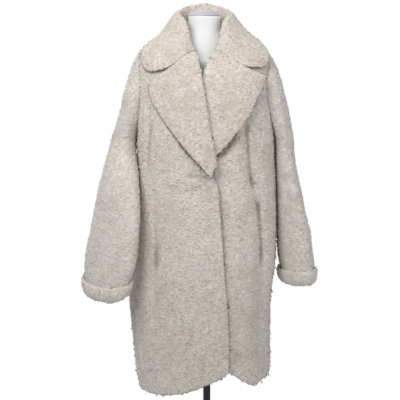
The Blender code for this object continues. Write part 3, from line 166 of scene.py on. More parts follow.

# Creases pressed into the cloth, one row each, as a line on the view from that side: across (x seen from the
# front and the back, y from the sides) and z at its two ends, how far it bows sideways in its middle, its half
# width and its depth, which is negative for a ridge. All in metres.
Crease = namedtuple("Crease", "side across_1 z_1 across_2 z_2 bow half_width depth")
CREASES = {
    "front_right": (
        Crease("front", -0.142, 1.226, -0.078, 1.112, 0.000, 0.007, 0.0055),  # under the lapel's edge
        Crease("front", -0.104, 1.152, -0.026, 1.052, 0.000, 0.007, 0.0080),
        Crease("front", -0.046, 1.078, 0.022, 1.006, 0.000, 0.007, 0.0070),
        Crease("front", 0.040, 0.992, -0.052, 0.996, 0.003, 0.009, 0.0060),  # drawn in to the fastening
        Crease("front", 0.036, 0.990, -0.040, 0.935, 0.006, 0.009, 0.0050),
        Crease("front", 0.034, 0.992, 0.010, 0.900, -0.006, 0.010, 0.0045),
        Crease("front", 0.048, 0.960, 0.058, 0.760, 0.006, 0.012, 0.0035),
        Crease("front", -0.133, 1.190, -0.157, 0.920, 0.000, 0.008, 0.0085),  # long fold from the lapel down
        Crease("front", -0.128, 1.000, -0.118, 0.680, 0.003, 0.010, 0.0050),
        Crease("front", -0.131, 0.820, -0.136, 0.500, -0.004, 0.010, 0.0040),
        Crease("front", -0.090, 0.930, -0.108, 0.700, 0.008, 0.018, 0.0035),
        Crease("front", -0.020, 0.720, -0.034, 0.480, -0.008, 0.020, 0.0040),
        Crease("front", 0.012, 0.500, 0.006, 0.395, 0.002, 0.011, 0.0060),
        Crease("front", -0.084, 0.560, -0.100, 0.395, 0.004, 0.013, 0.0050),
        Crease("front", -0.116, 1.130, -0.116, 0.840, 0.002, 0.014, -0.0030),  # full beside the long fold
        Crease("front", -0.160, 1.140, -0.160, 0.840, 0.002, 0.012, -0.0030),
        Crease("front", -0.020, 0.960, -0.070, 0.860, 0.004, 0.020, -0.0030),
    ),
    "front_left": (
        Crease("front", 0.176, 1.252, 0.102, 1.124, 0.000, 0.007, 0.0080),  # under the lapel's edge
        Crease("front", 0.122, 1.158, 0.036, 1.040, 0.000, 0.007, 0.0095),
        Crease("front", 0.112, 1.116, 0.044, 1.034, 0.000, 0.010, 0.0080),
        Crease("front", 0.128, 1.180, 0.148, 0.940, 0.002, 0.009, 0.0080),  # long fold from the lapel down
        Crease("front", 0.140, 1.010, 0.172, 0.880, 0.002, 0.008, 0.0060),
        Crease("front", 0.160, 0.945, 0.176, 0.720, -0.003, 0.009, 0.0085),
        Crease("front", 0.172, 0.820, 0.182, 0.440, 0.003, 0.010, 0.0055),
        Crease("front", 0.108, 0.600, 0.116, 0.420, 0.004, 0.014, 0.0040),
        Crease("front", 0.150, 0.520, 0.155, 0.400, -0.004, 0.012, 0.0045),
        Crease("front", 0.078, 0.960, 0.088, 0.700, 0.006, 0.012, 0.0035),
        Crease("front", 0.100, 1.110, 0.124, 0.880, 0.002, 0.015, -0.0045),  # full beside the long fold
        Crease("front", 0.165, 1.120, 0.190, 0.900, 0.002, 0.012, -0.0040),
        Crease("front", 0.146, 0.900, 0.150, 0.600, 0.002, 0.015, -0.0045),
        Crease("front", 0.198, 0.900, 0.200, 0.560, 0.002, 0.011, -0.0025),
    ),
    "back": (
        Crease("back", 0.060, 1.180, 0.086, 0.560, 0.014, 0.026, 0.0060),
        Crease("back", -0.070, 1.120, -0.096, 0.500, -0.016, 0.028, 0.0065),
        Crease("back", -0.010, 0.860, 0.004, 0.420, 0.008, 0.022, 0.0050),
        Crease("back", 0.130, 0.900, 0.150, 0.470, -0.010, 0.020, 0.0050),
        Crease("back", -0.140, 0.960, -0.150, 0.520, 0.010, 0.020, 0.0045),
        Crease("back", -0.120, 1.200, 0.010, 1.150, -0.012, 0.020, 0.0040),
        Crease("back", 0.140, 1.180, 0.020, 1.120, 0.010, 0.018, 0.0035),
    ),
    "sleeve_right": (
        Crease("front", -0.205, 1.190, -0.262, 1.140, 0.006, 0.014, 0.0050),
        Crease("front", -0.212, 1.120, -0.270, 1.060, -0.005, 0.013, 0.0045),
        Crease("front", -0.236, 0.960, -0.296, 0.985, 0.006, 0.012, 0.0050),
        Crease("front", -0.232, 0.915, -0.300, 0.905, -0.008, 0.013, 0.0060),
        Crease("front", -0.240, 0.850, -0.312, 0.880, 0.006, 0.012, 0.0045),
        Crease("back", -0.215, 0.990, -0.290, 0.940, 0.006, 0.014, 0.0055),
        Crease("back", -0.220, 0.930, -0.300, 0.890, -0.006, 0.014, 0.0055),
        Crease("left", 0.060, 1.000, 0.000, 0.950, 0.006, 0.014, 0.0050),
        Crease("left", 0.050, 0.940, -0.030, 0.890, -0.006, 0.013, 0.0055),
        Crease("right", -0.010, 1.140, -0.080, 0.930, 0.000, 0.035, -0.0034),  # lies against the body
    ),
    "sleeve_left": (
        Crease("front", 0.190, 1.225, 0.245, 1.212, 0.004, 0.012, 0.0050),
        Crease("front", 0.205, 1.120, 0.268, 1.060, 0.006, 0.014, 0.0045),
        Crease("front", 0.226, 0.985, 0.290, 0.960, -0.006, 0.013, 0.0050),
        Crease("front", 0.232, 0.925, 0.304, 0.935, 0.008, 0.013, 0.0055),
        Crease("front", 0.240, 0.860, 0.312, 0.830, 0.005, 0.012, 0.0045),
        Crease("back", 0.220, 0.985, 0.296, 0.950, 0.006, 0.014, 0.0055),
        Crease("back", 0.226, 0.920, 0.306, 0.900, -0.006, 0.014, 0.0050),
        Crease("right", 0.060, 0.990, 0.000, 0.945, 0.006, 0.014, 0.0050),
        Crease("right", 0.045, 0.930, -0.030, 0.885, -0.006, 0.013, 0.0050),
        Crease("left", 0.000, 1.140, 0.000, 0.760, 0.000, 0.035, -0.0030),  # lies against the body
    ),
    "lapel_right": (
        Crease("front", -0.156, 1.272, -0.078, 1.294, 0.000, 0.006, 0.0055),  # beside the notch
    ),
    "lapel_left": (
        Crease("front", 0.130, 1.293, 0.192, 1.276, 0.000, 0.006, 0.0045),
    ),
    "collar": (
        Crease("back", -0.060, 1.440, -0.074, 1.320, 0.006, 0.014, 0.0035),
        Crease("back", 0.078, 1.430, 0.090, 1.320, -0.006, 0.014, 0.0035),
    ),
}

# The way each side faces, and the axis that runs across its view.
SIDES = {
    "front": (Vector((0, -1, 0)), 0),
    "back": (Vector((0, 1, 0)), 0),
    "left": (Vector((-1, 0, 0)), 1),
    "right": (Vector((1, 0, 0)), 1),
}

# One row for each kind of lock: how far it turns from root to tip in degrees, how high its middle rises against
# its length, where its tip ends, below the cloth if negative, how thick it is, and its rings of points.
LockShape = namedtuple("LockShape", "name turn rise tip_height girth rings")
LOCK_SHAPES = (
    LockShape("ring", 250.0, 0.15, -0.04, 0.19, 2),
    LockShape("hook", 180.0, 0.17, 0.00, 0.20, 2),
    LockShape("wave", 95.0, 0.15, -0.02, 0.21, 2),
    LockShape("tuft", 80.0, 0.16, 0.02, 0.25, 1),
    LockShape("flat", 50.0, 0.14, -0.03, 0.25, 1),
    LockShape("curl", 120.0, 0.15, 0.00, 0.26, 1),
)
LOCK_SIDES = 3


# ------------------------------------------------------------------ small helpers

def ease(value, low, high):
    """0 below low, 1 above high, smooth between; arrays too."""
    t = np.clip((value - low) / (high - low), 0.0, 1.0)
    return t * t * (3.0 - 2.0 * t)


def points_of(mesh):
    """A mesh's points as an array."""
    flat = np.empty(len(mesh.vertices) * 3)
    mesh.vertices.foreach_get("co", flat)
    return flat.reshape(-1, 3)


def normals_of(mesh):
    """A mesh's point normals as an array."""
    flat = np.empty(len(mesh.vertices) * 3)
    mesh.vertices.foreach_get("normal", flat)
    return flat.reshape(-1, 3)


def value_of(mesh, name):
    """A named value kept on each point of a mesh."""
    values = np.empty(len(mesh.vertices))
    mesh.attributes[name].data.foreach_get("value", values)
    return values


def keep_value(mesh, name, values):
    """Keeps a named value on each point of a mesh."""
    attribute = mesh.attributes.get(name) or mesh.attributes.new(name, "FLOAT", "POINT")
    attribute.data.foreach_set("value", np.asarray(values, dtype=np.float32))


def link(mesh, name):
    """A new object for a mesh, in the scene."""
    made = bpy.data.objects.new(name, mesh)
    bpy.context.scene.collection.objects.link(made)
    return made


def bake_modifiers(piece):
    """The piece's mesh as its modifiers leave it, with the modifiers gone."""
    depsgraph = bpy.context.evaluated_depsgraph_get()
    baked = bpy.data.meshes.new_from_object(piece.evaluated_get(depsgraph))
    piece.modifiers.clear()
    piece.data = baked
    return piece


def merged_copy(node):
    """A copy of a node's mesh with its loose triangles merged, and joined into four-sided faces."""
    work = bmesh.new()
    work.from_mesh(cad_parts[node].data)
    bmesh.ops.remove_doubles(work, verts=work.verts[:], dist=1e-5)
    bmesh.ops.join_triangles(
        work, faces=work.faces[:], angle_face_threshold=0.9, angle_shape_threshold=1.2)
    mesh = bpy.data.meshes.new(node + "_copy")
    work.to_mesh(mesh)
    work.free()
    return mesh


def sharp_edges(work, angle):
    """The edges of a mesh in work that turn by more than the angle."""
    return {e for e in work.edges if len(e.link_faces) == 2 and e.calc_face_angle() > angle}


def crease_edges(piece, angle, sharpness):
    """Edges that turn by more than the angle keep that much of their crease; sharpness may depend on the edge."""
    work = bmesh.new()
    work.from_mesh(piece.data)
    crease = work.edges.layers.float.new("crease_edge")
    for edge in sharp_edges(work, angle):
        edge[crease] = sharpness(edge)
    work.to_mesh(piece.data)
    work.free()


def subdivide(piece, levels):
    """Rounds a piece with a subdivision surface."""
    modifier = piece.modifiers.new("Round", "SUBSURF")
    modifier.levels = levels
    modifier.render_levels = levels
    bake_modifiers(piece)
    piece.data.shade_smooth()
    return piece


# ------------------------------------------------------------------ what shows of the cloth

def sky_directions(count=26):
    """Directions spread evenly over a sphere."""
    turn = math.pi * (3.0 - math.sqrt(5.0))
    directions = []
    for k in range(count):
        z = 1.0 - 2.0 * (k + 0.5) / count
        ring = math.sqrt(1.0 - z * z)
        directions.append(Vector((ring * math.cos(turn * k), ring * math.sin(turn * k), z)))
    return directions


def tree_of(nodes):
    """One tree of those solids of the frame."""
    points, faces = [], []
    for node in (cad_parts[name] for name in nodes):
        first = len(points)
        points.extend(v.co.copy() for v in node.data.vertices)
        faces.extend([first + i for i in polygon.vertices] for polygon in node.data.polygons)
    return BVHTree.FromPolygons(points, faces)


def openness(points, normals, tree, reach, where=None, count=26, lift=2.0 * MM):
    """For each point, or each one that where picks, the share of the sky above it with nothing within reach."""
    directions = sky_directions(count)
    shares = np.zeros(len(points))
    for k in range(len(points)) if where is None else np.flatnonzero(where):
        normal = Vector(normals[k])
        start = Vector(points[k]) + normal * lift
        above = [d for d in directions if d.dot(normal) > 0.15]
        free = sum(1 for d in above if tree.ray_cast(start, d, reach)[0] is None)
        shares[k] = free / max(1, len(above))
    return shares


def keep_skin_normals(mesh):
    """Keeps on each point which way its cloth faces, leaving out the narrow faces along the wall's edges."""
    work = bmesh.new()
    work.from_mesh(mesh)
    sharp = sharp_edges(work, math.radians(WALL_EDGE))
    rims = {
        face for face in work.faces
        if len(face.edges) == 4 and any(face.edges[k] in sharp and face.edges[k + 2] in sharp for k in (0, 1))
    }
    skin = []
    for vertex in work.verts:
        total = Vector((0, 0, 0))
        for face in vertex.link_faces:
            if face not in rims:
                total += face.normal * face.calc_area()
        skin.append(total.normalized() if total.length > 0.0 else vertex.normal.copy())
    work.free()
    attribute = mesh.attributes.new("skin", "FLOAT_VECTOR", "POINT")
    attribute.data.foreach_set("vector", np.array(skin, dtype=np.float32).ravel())


def skin_normals(mesh):
    """The kept skin normals: as long as 1 on the skin and short in the middle of an edge."""
    flat = np.empty(len(mesh.vertices) * 3, dtype=np.float32)
    mesh.attributes["skin"].data.foreach_get("vector", flat)
    return flat.reshape(-1, 3).astype(float)


# ------------------------------------------------------------------ the backing of each panel

def crease_depth(points, normals, crease):
    """How far one crease presses each point in."""
    facing, across = SIDES[crease.side]
    start = np.array((crease.across_1, crease.z_1))
    end = np.array((crease.across_2, crease.z_2))
    run = end - start
    length = np.linalg.norm(run)
    seen = points[:, (across, 2)] - start
    along = np.clip(seen @ run / length**2, 0.0, 1.0)
    sideways = (seen[:, 0] * run[1] - seen[:, 1] * run[0]) / length
    beyond = np.linalg.norm(seen - along[:, None] * run, axis=1)
    bowed = sideways - crease.bow * np.sin(math.pi * along)
    inside = (along > 0.0) & (along < 1.0)
    distance = np.where(inside, np.abs(bowed), beyond)
    fade = ease(along, 0.0, 0.25) * (1.0 - ease(along, 0.70, 1.0))
    faces_side = np.clip(normals @ np.array(facing), 0.0, 1.0)
    return crease.depth * np.exp(-((distance / crease.half_width) ** 2)) * fade * faces_side


def lumps(points, size, seed):
    """Soft uneven noise from -1 to 1 over the points."""
    offset = Vector((seed * 3.1, seed * 1.7, seed * 2.3))
    return np.array([noise.noise(Vector(p) / size + offset) for p in points])


# An edge that turns by more than this, in degrees, is an edge of the cloth's wall.
WALL_EDGE = 45.0
# Edges of cloth this near to another panel are sewn to it and stay square; the others are rounded.
SEAM_REACH = 1.5 * MM
SEAM_CREASE = 1.0
FREE_EDGE_CREASE = 0.1
# The cloth is never let down further than this, so that the wall's two faces stay apart.
DEEPEST = 6.0 * MM
# How much painted shade a crease puts on the pile in it, for each metre of its depth.
CREASE_SHADE = 100.0
# Cloth is in sight where more than a little of the sky within reach is open, and counts as shown, and so is let
# down and creased, from the first of these shares of open sky to the second.
SKY_REACH = 0.30
IN_SIGHT = 0.06
SHOWN_SHARES = (0.35, 0.62)
# A crevice is where the ways out of the cloth are shut within reach; painted shade darkens the pile by this much of
# them.
CREVICE_REACH = 14.0 * MM
CREVICE_LIFT = 3.5 * MM
CREVICE_RAYS = 16
CREVICE_SHADE = 0.72
# Unevenness of the cloth, one row each.
Lump = namedtuple("Lump", "height size seed")
CLOTH_LUMPS = (Lump(1.0 * MM, 10.0 * MM, 1), Lump(1.2 * MM, 24.0 * MM, 4), Lump(1.8 * MM, 60.0 * MM, 2))
TONE_LUMPS = Lump(0.35, 7.0 * MM, 3)
MIDDLE_TONE = 0.40
# The backing between the locks takes mostly the painted shade of the roots.
BACKING_TIP = 0.35


def backing(node, name, tree, sizes):
    """The cloth of one panel: its solid's form, rounded, let down by the pile's depth and creased."""
    piece = link(merged_copy(node), name)
    mesh = piece.data
    keep_skin_normals(mesh)
    keep_value(mesh, "shown", openness(points_of(mesh), skin_normals(mesh), tree, SKY_REACH))
    sewn_to = tree_of(other for other in CLOTH_NODES if other != node)

    def sharpness(edge):
        near = all(sewn_to.find_nearest(v.co, SEAM_REACH)[0] is not None for v in edge.verts)
        return SEAM_CREASE if near else FREE_EDGE_CREASE

    crease_edges(piece, math.radians(WALL_EDGE), sharpness)
    subdivide(piece, 2)
    mesh = piece.data
    points, normals = points_of(mesh), skin_normals(mesh)
    in_sight = value_of(mesh, "shown") > IN_SIGHT
    shut = 1.0 - openness(points, normals, tree, CREVICE_REACH, in_sight, CREVICE_RAYS, CREVICE_LIFT)
    shown = ease(value_of(mesh, "shown"), *SHOWN_SHARES)
    pressed = np.zeros(len(points))
    for crease in CREASES.get(node, ()):
        pressed = pressed + crease_depth(points, normals, crease)
    # Painted shade kept for the pile's colour: where the sky is shut within reach, and along the creases.
    keep_value(mesh, "crevice", CREVICE_SHADE * shut + CREASE_SHADE * np.maximum(pressed, 0.0))
    depth = sizes.pile_depth + pressed
    for lump in CLOTH_LUMPS:
        depth = depth + lump.height * lumps(points, lump.size, lump.seed)
    depth = np.minimum(depth, DEEPEST) * shown + np.minimum(pressed, 0.0) * (1.0 - shown)
    points = points - normals * depth[:, None]
    mesh.vertices.foreach_set("co", points.ravel())
    mesh.update()
    tone = TONE_LUMPS.height * lumps(points, TONE_LUMPS.size, TONE_LUMPS.seed)
    keep_value(mesh, "tone", MIDDLE_TONE + tone)
    keep_value(mesh, "tip", np.full(len(points), BACKING_TIP))
    return piece


# ------------------------------------------------------------------ the pile

def lock_mesh(shape):
    """One curled lock, a unit long, closed, its root at the origin and under the cloth."""
    rings = []
    for k in range(shape.rings + 2):
        t = k / (shape.rings + 1)
        turn = math.radians(shape.turn) * t
        radius = 0.5 / max(1.0, math.radians(shape.turn) / math.pi)
        side = Vector((math.sin(turn) * radius, radius - math.cos(turn) * radius, 0))
        height = shape.rise * math.sin(math.pi * min(1.0, t * 1.15)) + shape.tip_height * t - 0.12 * (1.0 - t)
        rings.append((side + Vector((0, 0, height)), turn, t))
    work = bmesh.new()
    levels = []
    for k, (centre, turn, t) in enumerate(rings):
        if k in (0, len(rings) - 1):
            levels.append([work.verts.new(centre)])
            continue
        forward = Vector((math.cos(turn), math.sin(turn), 0))
        across = Vector((-forward.y, forward.x, 0))
        girth = shape.girth * (1.0 - 0.15 * t)
        levels.append([
            work.verts.new(
                centre + across * girth * math.cos(a) * 1.15 + Vector((0, 0, girth * 0.9 * math.sin(a))))
            for a in (math.tau * j / LOCK_SIDES + 0.5 * math.pi for j in range(LOCK_SIDES))
        ])
    for low, high in zip(levels, levels[1:]):
        for j in range(LOCK_SIDES):
            j_next = (j + 1) % LOCK_SIDES
            if len(low) == 1:
                work.faces.new((low[0], high[j_next], high[j]))
            elif len(high) == 1:
                work.faces.new((low[j], low[j_next], high[0]))
            else:
                work.faces.new((low[j], low[j_next], high[j_next], high[j]))
    bmesh.ops.recalc_face_normals(work, faces=work.faces[:])
    mesh = bpy.data.meshes.new("lock_" + shape.name)
    work.to_mesh(mesh)
    work.free()
    heights = points_of(mesh)[:, 2]
    # Painted shade: the lower a part of a lock lies, the more of the root shade it takes.
    keep_value(mesh, "tip", 0.40 + 0.60 * ease(heights, -0.06, 0.30))
    mesh.shade_smooth()
    return mesh


def lock_collection():
    """The kinds of lock, kept out of the scene, for the pile to draw from."""
    held = bpy.data.collections.get("locks")
    if held is None:
        held = bpy.data.collections.new("locks")
        for shape in LOCK_SHAPES:
            held.objects.link(bpy.data.objects.new("lock_" + shape.name, lock_mesh(shape)))
    return held


def socket(sockets, name):
    """The socket of that name that is in use."""
    return next(s for s in sockets if s.name == name and s.enabled)


class Graph:
    """Adds nodes to a tree and joins them, with plain values or other nodes' sockets as inputs."""

    def __init__(self, tree):
        self.tree = tree
        self.column = 0

    def add(self, kind, output=None, inputs=(), **settings):
        """A node of that kind; returns its output socket of that name, or the node itself."""
        node = self.tree.nodes.new(kind)
        node.location = (self.column * 180, -(self.column % 5) * 160)
        self.column += 1
        for key, value in settings.items():
            setattr(node, key, value)
        for key, value in dict(inputs).items():
            target = node.inputs[key] if isinstance(key, int) else socket(node.inputs, key)
            if isinstance(value, bpy.types.NodeSocket):
                self.tree.links.new(value, target)
            else:
                target.default_value = value
        return node if output is None else socket(node.outputs, output)

    def maths(self, operation, first, second=0.0, third=0.0):
        """A Math node's result."""
        return self.add(
            "ShaderNodeMath", "Value", {0: first, 1: second, 2: third}, operation=operation)

    def mix(self, amount, first, second):
        """A colour between two, each a plain colour or another node's socket."""
        node = self.add("ShaderNodeMix", None, {0: amount, 6: first, 7: second}, data_type="RGBA")
        return node.outputs[2]


PILE_INPUTS = (
    ("Backing", "NodeSocketGeometry"),
    ("Locks", "NodeSocketCollection"),
    ("Spacing", "NodeSocketFloat"),
    ("Most per square metre", "NodeSocketFloat"),
    ("Length", "NodeSocketFloat"),
    ("Combed", "NodeSocketFloat"),
    ("Lean", "NodeSocketFloat"),
    ("Light share", "NodeSocketFloat"),
    ("Seed", "NodeSocketInt"),
    ("Finish", "NodeSocketMaterial"),
)


def pile_tree():
    """Locks over the shown faces of a backing, each turned, leant, sized and toned by chance."""
    tree = bpy.data.node_groups.get("Pile")
    if tree is not None:
        return tree
    tree = bpy.data.node_groups.new("Pile", "GeometryNodeTree")
    for name, kind in PILE_INPUTS:
        tree.interface.new_socket(name, in_out="INPUT", socket_type=kind)
    tree.interface.new_socket("Pile", in_out="OUTPUT", socket_type="NodeSocketGeometry")
    graph = Graph(tree)
    given = graph.add("NodeGroupInput").outputs

    def chance(kind, low, high, offset):
        seed = graph.maths("ADD", given["Seed"], float(offset))
        return graph.add(
            "FunctionNodeRandomValue", "Value", {"Min": low, "Max": high, "Seed": seed}, data_type=kind)

    shown = graph.add("GeometryNodeInputNamedAttribute", "Attribute", {"Name": "shown"}, data_type="FLOAT")
    bare = graph.add(
        "ShaderNodeMapRange", "Result", {"Value": shown, "From Min": 0.03, "From Max": 0.12})
    spread = graph.add(
        "GeometryNodeDistributePointsOnFaces", None,
        {"Mesh": given["Backing"], "Distance Min": given["Spacing"],
         "Density Max": given["Most per square metre"], "Density Factor": bare, "Seed": given["Seed"]},
        distribute_method="POISSON")
    spots, normal = spread.outputs["Points"], spread.outputs["Normal"]

    any_way = chance("FLOAT_VECTOR", (-1.0, -1.0, -1.0), (1.0, 1.0, 1.0), 1)
    downwards = graph.add(
        "ShaderNodeVectorMath", "Vector", {0: (0.0, 0.0, -1.6), "Scale": given["Combed"]}, operation="SCALE")
    way = graph.add("ShaderNodeVectorMath", "Vector", {0: any_way, 1: downwards}, operation="ADD")
    upright = graph.add(
        "FunctionNodeAlignRotationToVector", "Rotation", {"Vector": normal}, axis="Z", pivot_axis="AUTO")
    turned = graph.add(
        "FunctionNodeAlignRotationToVector", "Rotation", {"Rotation": upright, "Vector": way},
        axis="X", pivot_axis="Z")
    tilt = graph.add(
        "ShaderNodeVectorMath", "Vector",
        {0: chance("FLOAT_VECTOR", (-1.0, -1.0, -0.2), (1.0, 1.0, 0.2), 2), "Scale": given["Lean"]},
        operation="SCALE")
    leant = graph.add(
        "FunctionNodeRotateRotation", "Rotation", {"Rotation": turned, "Rotate By": tilt},
        rotation_space="LOCAL")
    scale = graph.maths("MULTIPLY", given["Length"], chance("FLOAT", 0.72, 1.28, 3))
    sizes = graph.add("ShaderNodeCombineXYZ", "Vector", {"X": scale, "Y": scale, "Z": scale})
    kinds = graph.add(
        "GeometryNodeCollectionInfo", "Instances",
        {"Collection": given["Locks"], "Separate Children": True, "Reset Children": True})
    locks = graph.add(
        "GeometryNodeInstanceOnPoints", "Instances",
        {"Points": spots, "Instance": kinds, "Pick Instance": True,
         "Instance Index": chance("INT", 0, len(LOCK_SHAPES) - 1, 4), "Rotation": leant, "Scale": sizes})
    tone = graph.add(
        "ShaderNodeMapRange", "Result",
        {"Value": graph.maths("ADD", chance("FLOAT", 0.0, 1.0, 5), given["Light share"]),
         "From Min": 0.40, "From Max": 1.35})
    toned = graph.add(
        "GeometryNodeStoreNamedAttribute", "Geometry", {"Geometry": locks, "Name": "tone", "Value": tone},
        data_type="FLOAT", domain="INSTANCE")
    real = graph.add("GeometryNodeRealizeInstances", "Geometry", {"Geometry": toned})
    finished = graph.add(
        "GeometryNodeSetMaterial", "Geometry", {"Geometry": real, "Material": given["Finish"]})
    graph.add("NodeGroupOutput", None, {"Pile": finished})
    return tree


def pile(cloth, name, finish, material, sizes, seed):
    """The pile of one panel: a plain mesh of locks on its backing."""
    piece = link(cloth.data.copy(), name)
    modifier = piece.modifiers.new("Pile", "NODES")
    modifier.node_group = pile_tree()
    spacing = sizes.lock_spacing * finish.spacing
    values = {
        "Locks": lock_collection(),
        "Spacing": spacing,
        "Most per square metre": LOCK_CROWDING / spacing**2,
        "Length": sizes.lock_length * finish.lock,
        "Combed": finish.combed,
        "Lean": math.radians(finish.lean),
        "Light share": finish.light,
        "Seed": seed,
        "Finish": material,
    }
    keys = {item.name: item.identifier for item in modifier.node_group.interface.items_tree}
    for label, value in values.items():
        modifier[keys[label]] = value
    bake_modifiers(piece)
    faces = len(piece.data.polygons)
    piece.data.materials.clear()
    piece.data.materials.append(material)
    piece.data.polygons.foreach_set("material_index", np.zeros(faces, dtype=np.int32))
    soften_shading(piece.data)
    return piece


# Locks at most in each square as wide as their spacing.
LOCK_CROWDING = 0.86
# How much of a lock's shading follows the cloth under it, so that the pile reads as soft and not as many chips.
PILE_SOFTNESS = 0.4


def soften_shading(mesh):
    """Turns the normals of the locks towards the way their cloth faces."""
    skin = skin_normals(mesh)
    skin /= np.maximum(np.linalg.norm(skin, axis=1, keepdims=True), 1e-6)
    mixed = normals_of(mesh) * (1.0 - PILE_SOFTNESS) + skin * PILE_SOFTNESS
    mixed /= np.maximum(np.linalg.norm(mixed, axis=1, keepdims=True), 1e-6)
    mesh.normals_split_custom_set_from_vertices(mixed)


# ------------------------------------------------------------------ finishes

def new_group(name, inputs, outputs):
    """An empty shader node group with those sockets, its graph and its input sockets."""
    tree = bpy.data.node_groups.new(name, "ShaderNodeTree")
    for label, kind, default in inputs:
        made = tree.interface.new_socket(label, in_out="INPUT", socket_type=kind)
        made.default_value = default
    for label, kind in outputs:
        tree.interface.new_socket(label, in_out="OUTPUT", socket_type=kind)
    graph = Graph(tree)
    return tree, graph, graph.add("NodeGroupInput").outputs


def plush_group():
    """Colour and relief of the pile: cream locks over painted shade at their roots, in soft uneven patches, with
    painted shade in crevices, creases and towards the hem.
    """
    tree = bpy.data.node_groups.get("Plush")
    if tree is not None:
        return tree
    tree, graph, given = new_group(
        "Plush",
        (("Body", "NodeSocketColor", (0.6, 0.53, 0.45, 1)), ("Tips", "NodeSocketColor", (0.8, 0.74, 0.66, 1)),
         ("Roots", "NodeSocketColor", (0.3, 0.25, 0.2, 1)), ("Crevices", "NodeSocketColor", (0.1, 0.1, 0.1, 1)),
         ("Warm", "NodeSocketColor", (0.7, 0.6, 0.5, 1)), ("Warm share", "NodeSocketFloat", 0.5),
         ("Grain", "NodeSocketFloat", 1.0)),
        (("Colour", "NodeSocketColor"), ("Height", "NodeSocketFloat")))
    place = graph.add("ShaderNodeTexCoord", "Object")
    tone = graph.add("ShaderNodeAttribute", "Fac", attribute_name="tone")
    tip = graph.add("ShaderNodeAttribute", "Fac", attribute_name="tip")
    crevice = graph.add("ShaderNodeAttribute", "Fac", attribute_name="crevice")

    def grain(scale, detail=2.0):
        return graph.add(
            "ShaderNodeTexNoise", "Fac", {"Vector": place, "Scale": scale, "Detail": detail})

    patches = graph.add(
        "ShaderNodeMapRange", "Result", {"Value": grain(24.0, 3.0), "From Min": 0.40, "From Max": 0.62})
    flecks = graph.add(
        "ShaderNodeMapRange", "Result", {"Value": grain(120.0), "From Min": 0.42, "From Max": 0.64})
    light = graph.maths(
        "MULTIPLY_ADD", tone, graph.maths("MULTIPLY_ADD", patches, 1.0, 0.20),
        graph.maths("MULTIPLY", flecks, 0.38))
    lying = graph.add(
        "ShaderNodeMapRange", "Result", {"Value": grain(11.0, 2.0), "From Min": 0.44, "From Max": 0.62})
    ground = graph.mix(graph.maths("MULTIPLY", lying, given["Warm share"]), given["Body"], given["Warm"])
    over = graph.mix(light, ground, given["Tips"])
    # Painted shade: low on the locks and on the backing, the colour goes towards the root shade.
    deep = graph.maths("MULTIPLY_ADD", tip, 0.80, graph.maths("MULTIPLY", flecks, 0.20))
    combed = graph.mix(graph.maths("MINIMUM", deep, 1.0), given["Roots"], over)
    # Painted shade where the pile lies in a crevice or a crease.
    pressed = graph.add(
        "ShaderNodeMapRange", "Result",
        {"Value": crevice, "From Min": 0.30, "From Max": 0.85, "To Max": 0.80}, interpolation_type="SMOOTHSTEP")
    # Painted shade: the pile is a little darker towards the hem, from the waist's height down, where less light
    # falls.
    painted_low_shade = graph.add(
        "ShaderNodeMapRange", "Result",
        {"Value": graph.add("ShaderNodeSeparateXYZ", "Z", {"Vector": place}),
         "From Min": 0.95, "From Max": 0.45, "To Max": 0.18}, interpolation_type="SMOOTHSTEP")
    # The painted shade of crevices, creases and the lower coat mixes the colour towards the shade colour.
    colour = graph.mix(graph.maths("MAXIMUM", pressed, painted_low_shade), combed, given["Crevices"])
    fibres = grain(700.0, 1.0)
    height = graph.maths("MULTIPLY", graph.maths("MULTIPLY_ADD", fibres, 0.35, flecks), given["Grain"])
    graph.add("NodeGroupOutput", None, {"Colour": colour, "Height": height})
    return tree


def new_material(name):
    """A node material with only its shader and output, and its graph."""
    material = bpy.data.materials.new(name)
    material.use_nodes = True
    material.node_tree.nodes.clear()
    graph = Graph(material.node_tree)
    shader = graph.add("ShaderNodeBsdfPrincipled")
    graph.add("ShaderNodeOutputMaterial", None, {"Surface": shader.outputs["BSDF"]})
    return material, graph, shader


def plush_material(name, colour, grain, warm, sizes):
    """Matt curly pile with a soft sheen."""
    material = bpy.data.materials.get(name)
    if material is not None:
        return material
    material, graph, shader = new_material(name)
    group = graph.add("ShaderNodeGroup", node_tree=plush_group())
    group.inputs["Body"].default_value = (*colour, 1)
    group.inputs["Tips"].default_value = (*sizes.tip_colour, 1)
    group.inputs["Roots"].default_value = (*sizes.root_shade_colour, 1)
    group.inputs["Crevices"].default_value = (*sizes.painted_shade_colour, 1)
    group.inputs["Warm"].default_value = (*sizes.warm_colour, 1)
    group.inputs["Warm share"].default_value = warm
    group.inputs["Grain"].default_value = grain
    bump = graph.add(
        "ShaderNodeBump", "Normal", {"Height": group.outputs["Height"], "Strength": 0.9, "Distance": 1.2 * MM})
    graph.tree.links.new(group.outputs["Colour"], shader.inputs["Base Color"])
    graph.tree.links.new(bump, shader.inputs["Normal"])
    shader.inputs["Roughness"].default_value = 0.92
    shader.inputs["Sheen Weight"].default_value = 0.35
    shader.inputs["Sheen Roughness"].default_value = 0.55
    shader.inputs["Specular IOR Level"].default_value = 0.2
    return material


def jersey_material(colour):
    """Taut white jersey: fine knitted ribs and a little unevenness."""
    material, graph, shader = new_material("white_jersey")
    place = graph.add("ShaderNodeTexCoord", "Object")
    knit = graph.add(
        "ShaderNodeTexWave", "Fac", {"Vector": place, "Scale": 420.0, "Distortion": 0.6}, bands_direction="X")
    cloudy = graph.add("ShaderNodeTexNoise", "Fac", {"Vector": place, "Scale": 18.0})
    shade = graph.mix(cloudy, (*[c * 0.93 for c in colour], 1), (*colour, 1))
    graph.tree.links.new(shade, shader.inputs["Base Color"])
    bump = graph.add("ShaderNodeBump", "Normal", {"Height": knit, "Strength": 0.15, "Distance": 0.2 * MM})
    graph.tree.links.new(bump, shader.inputs["Normal"])
    shader.inputs["Roughness"].default_value = 0.8
    shader.inputs["Sheen Weight"].default_value = 0.1
    return material


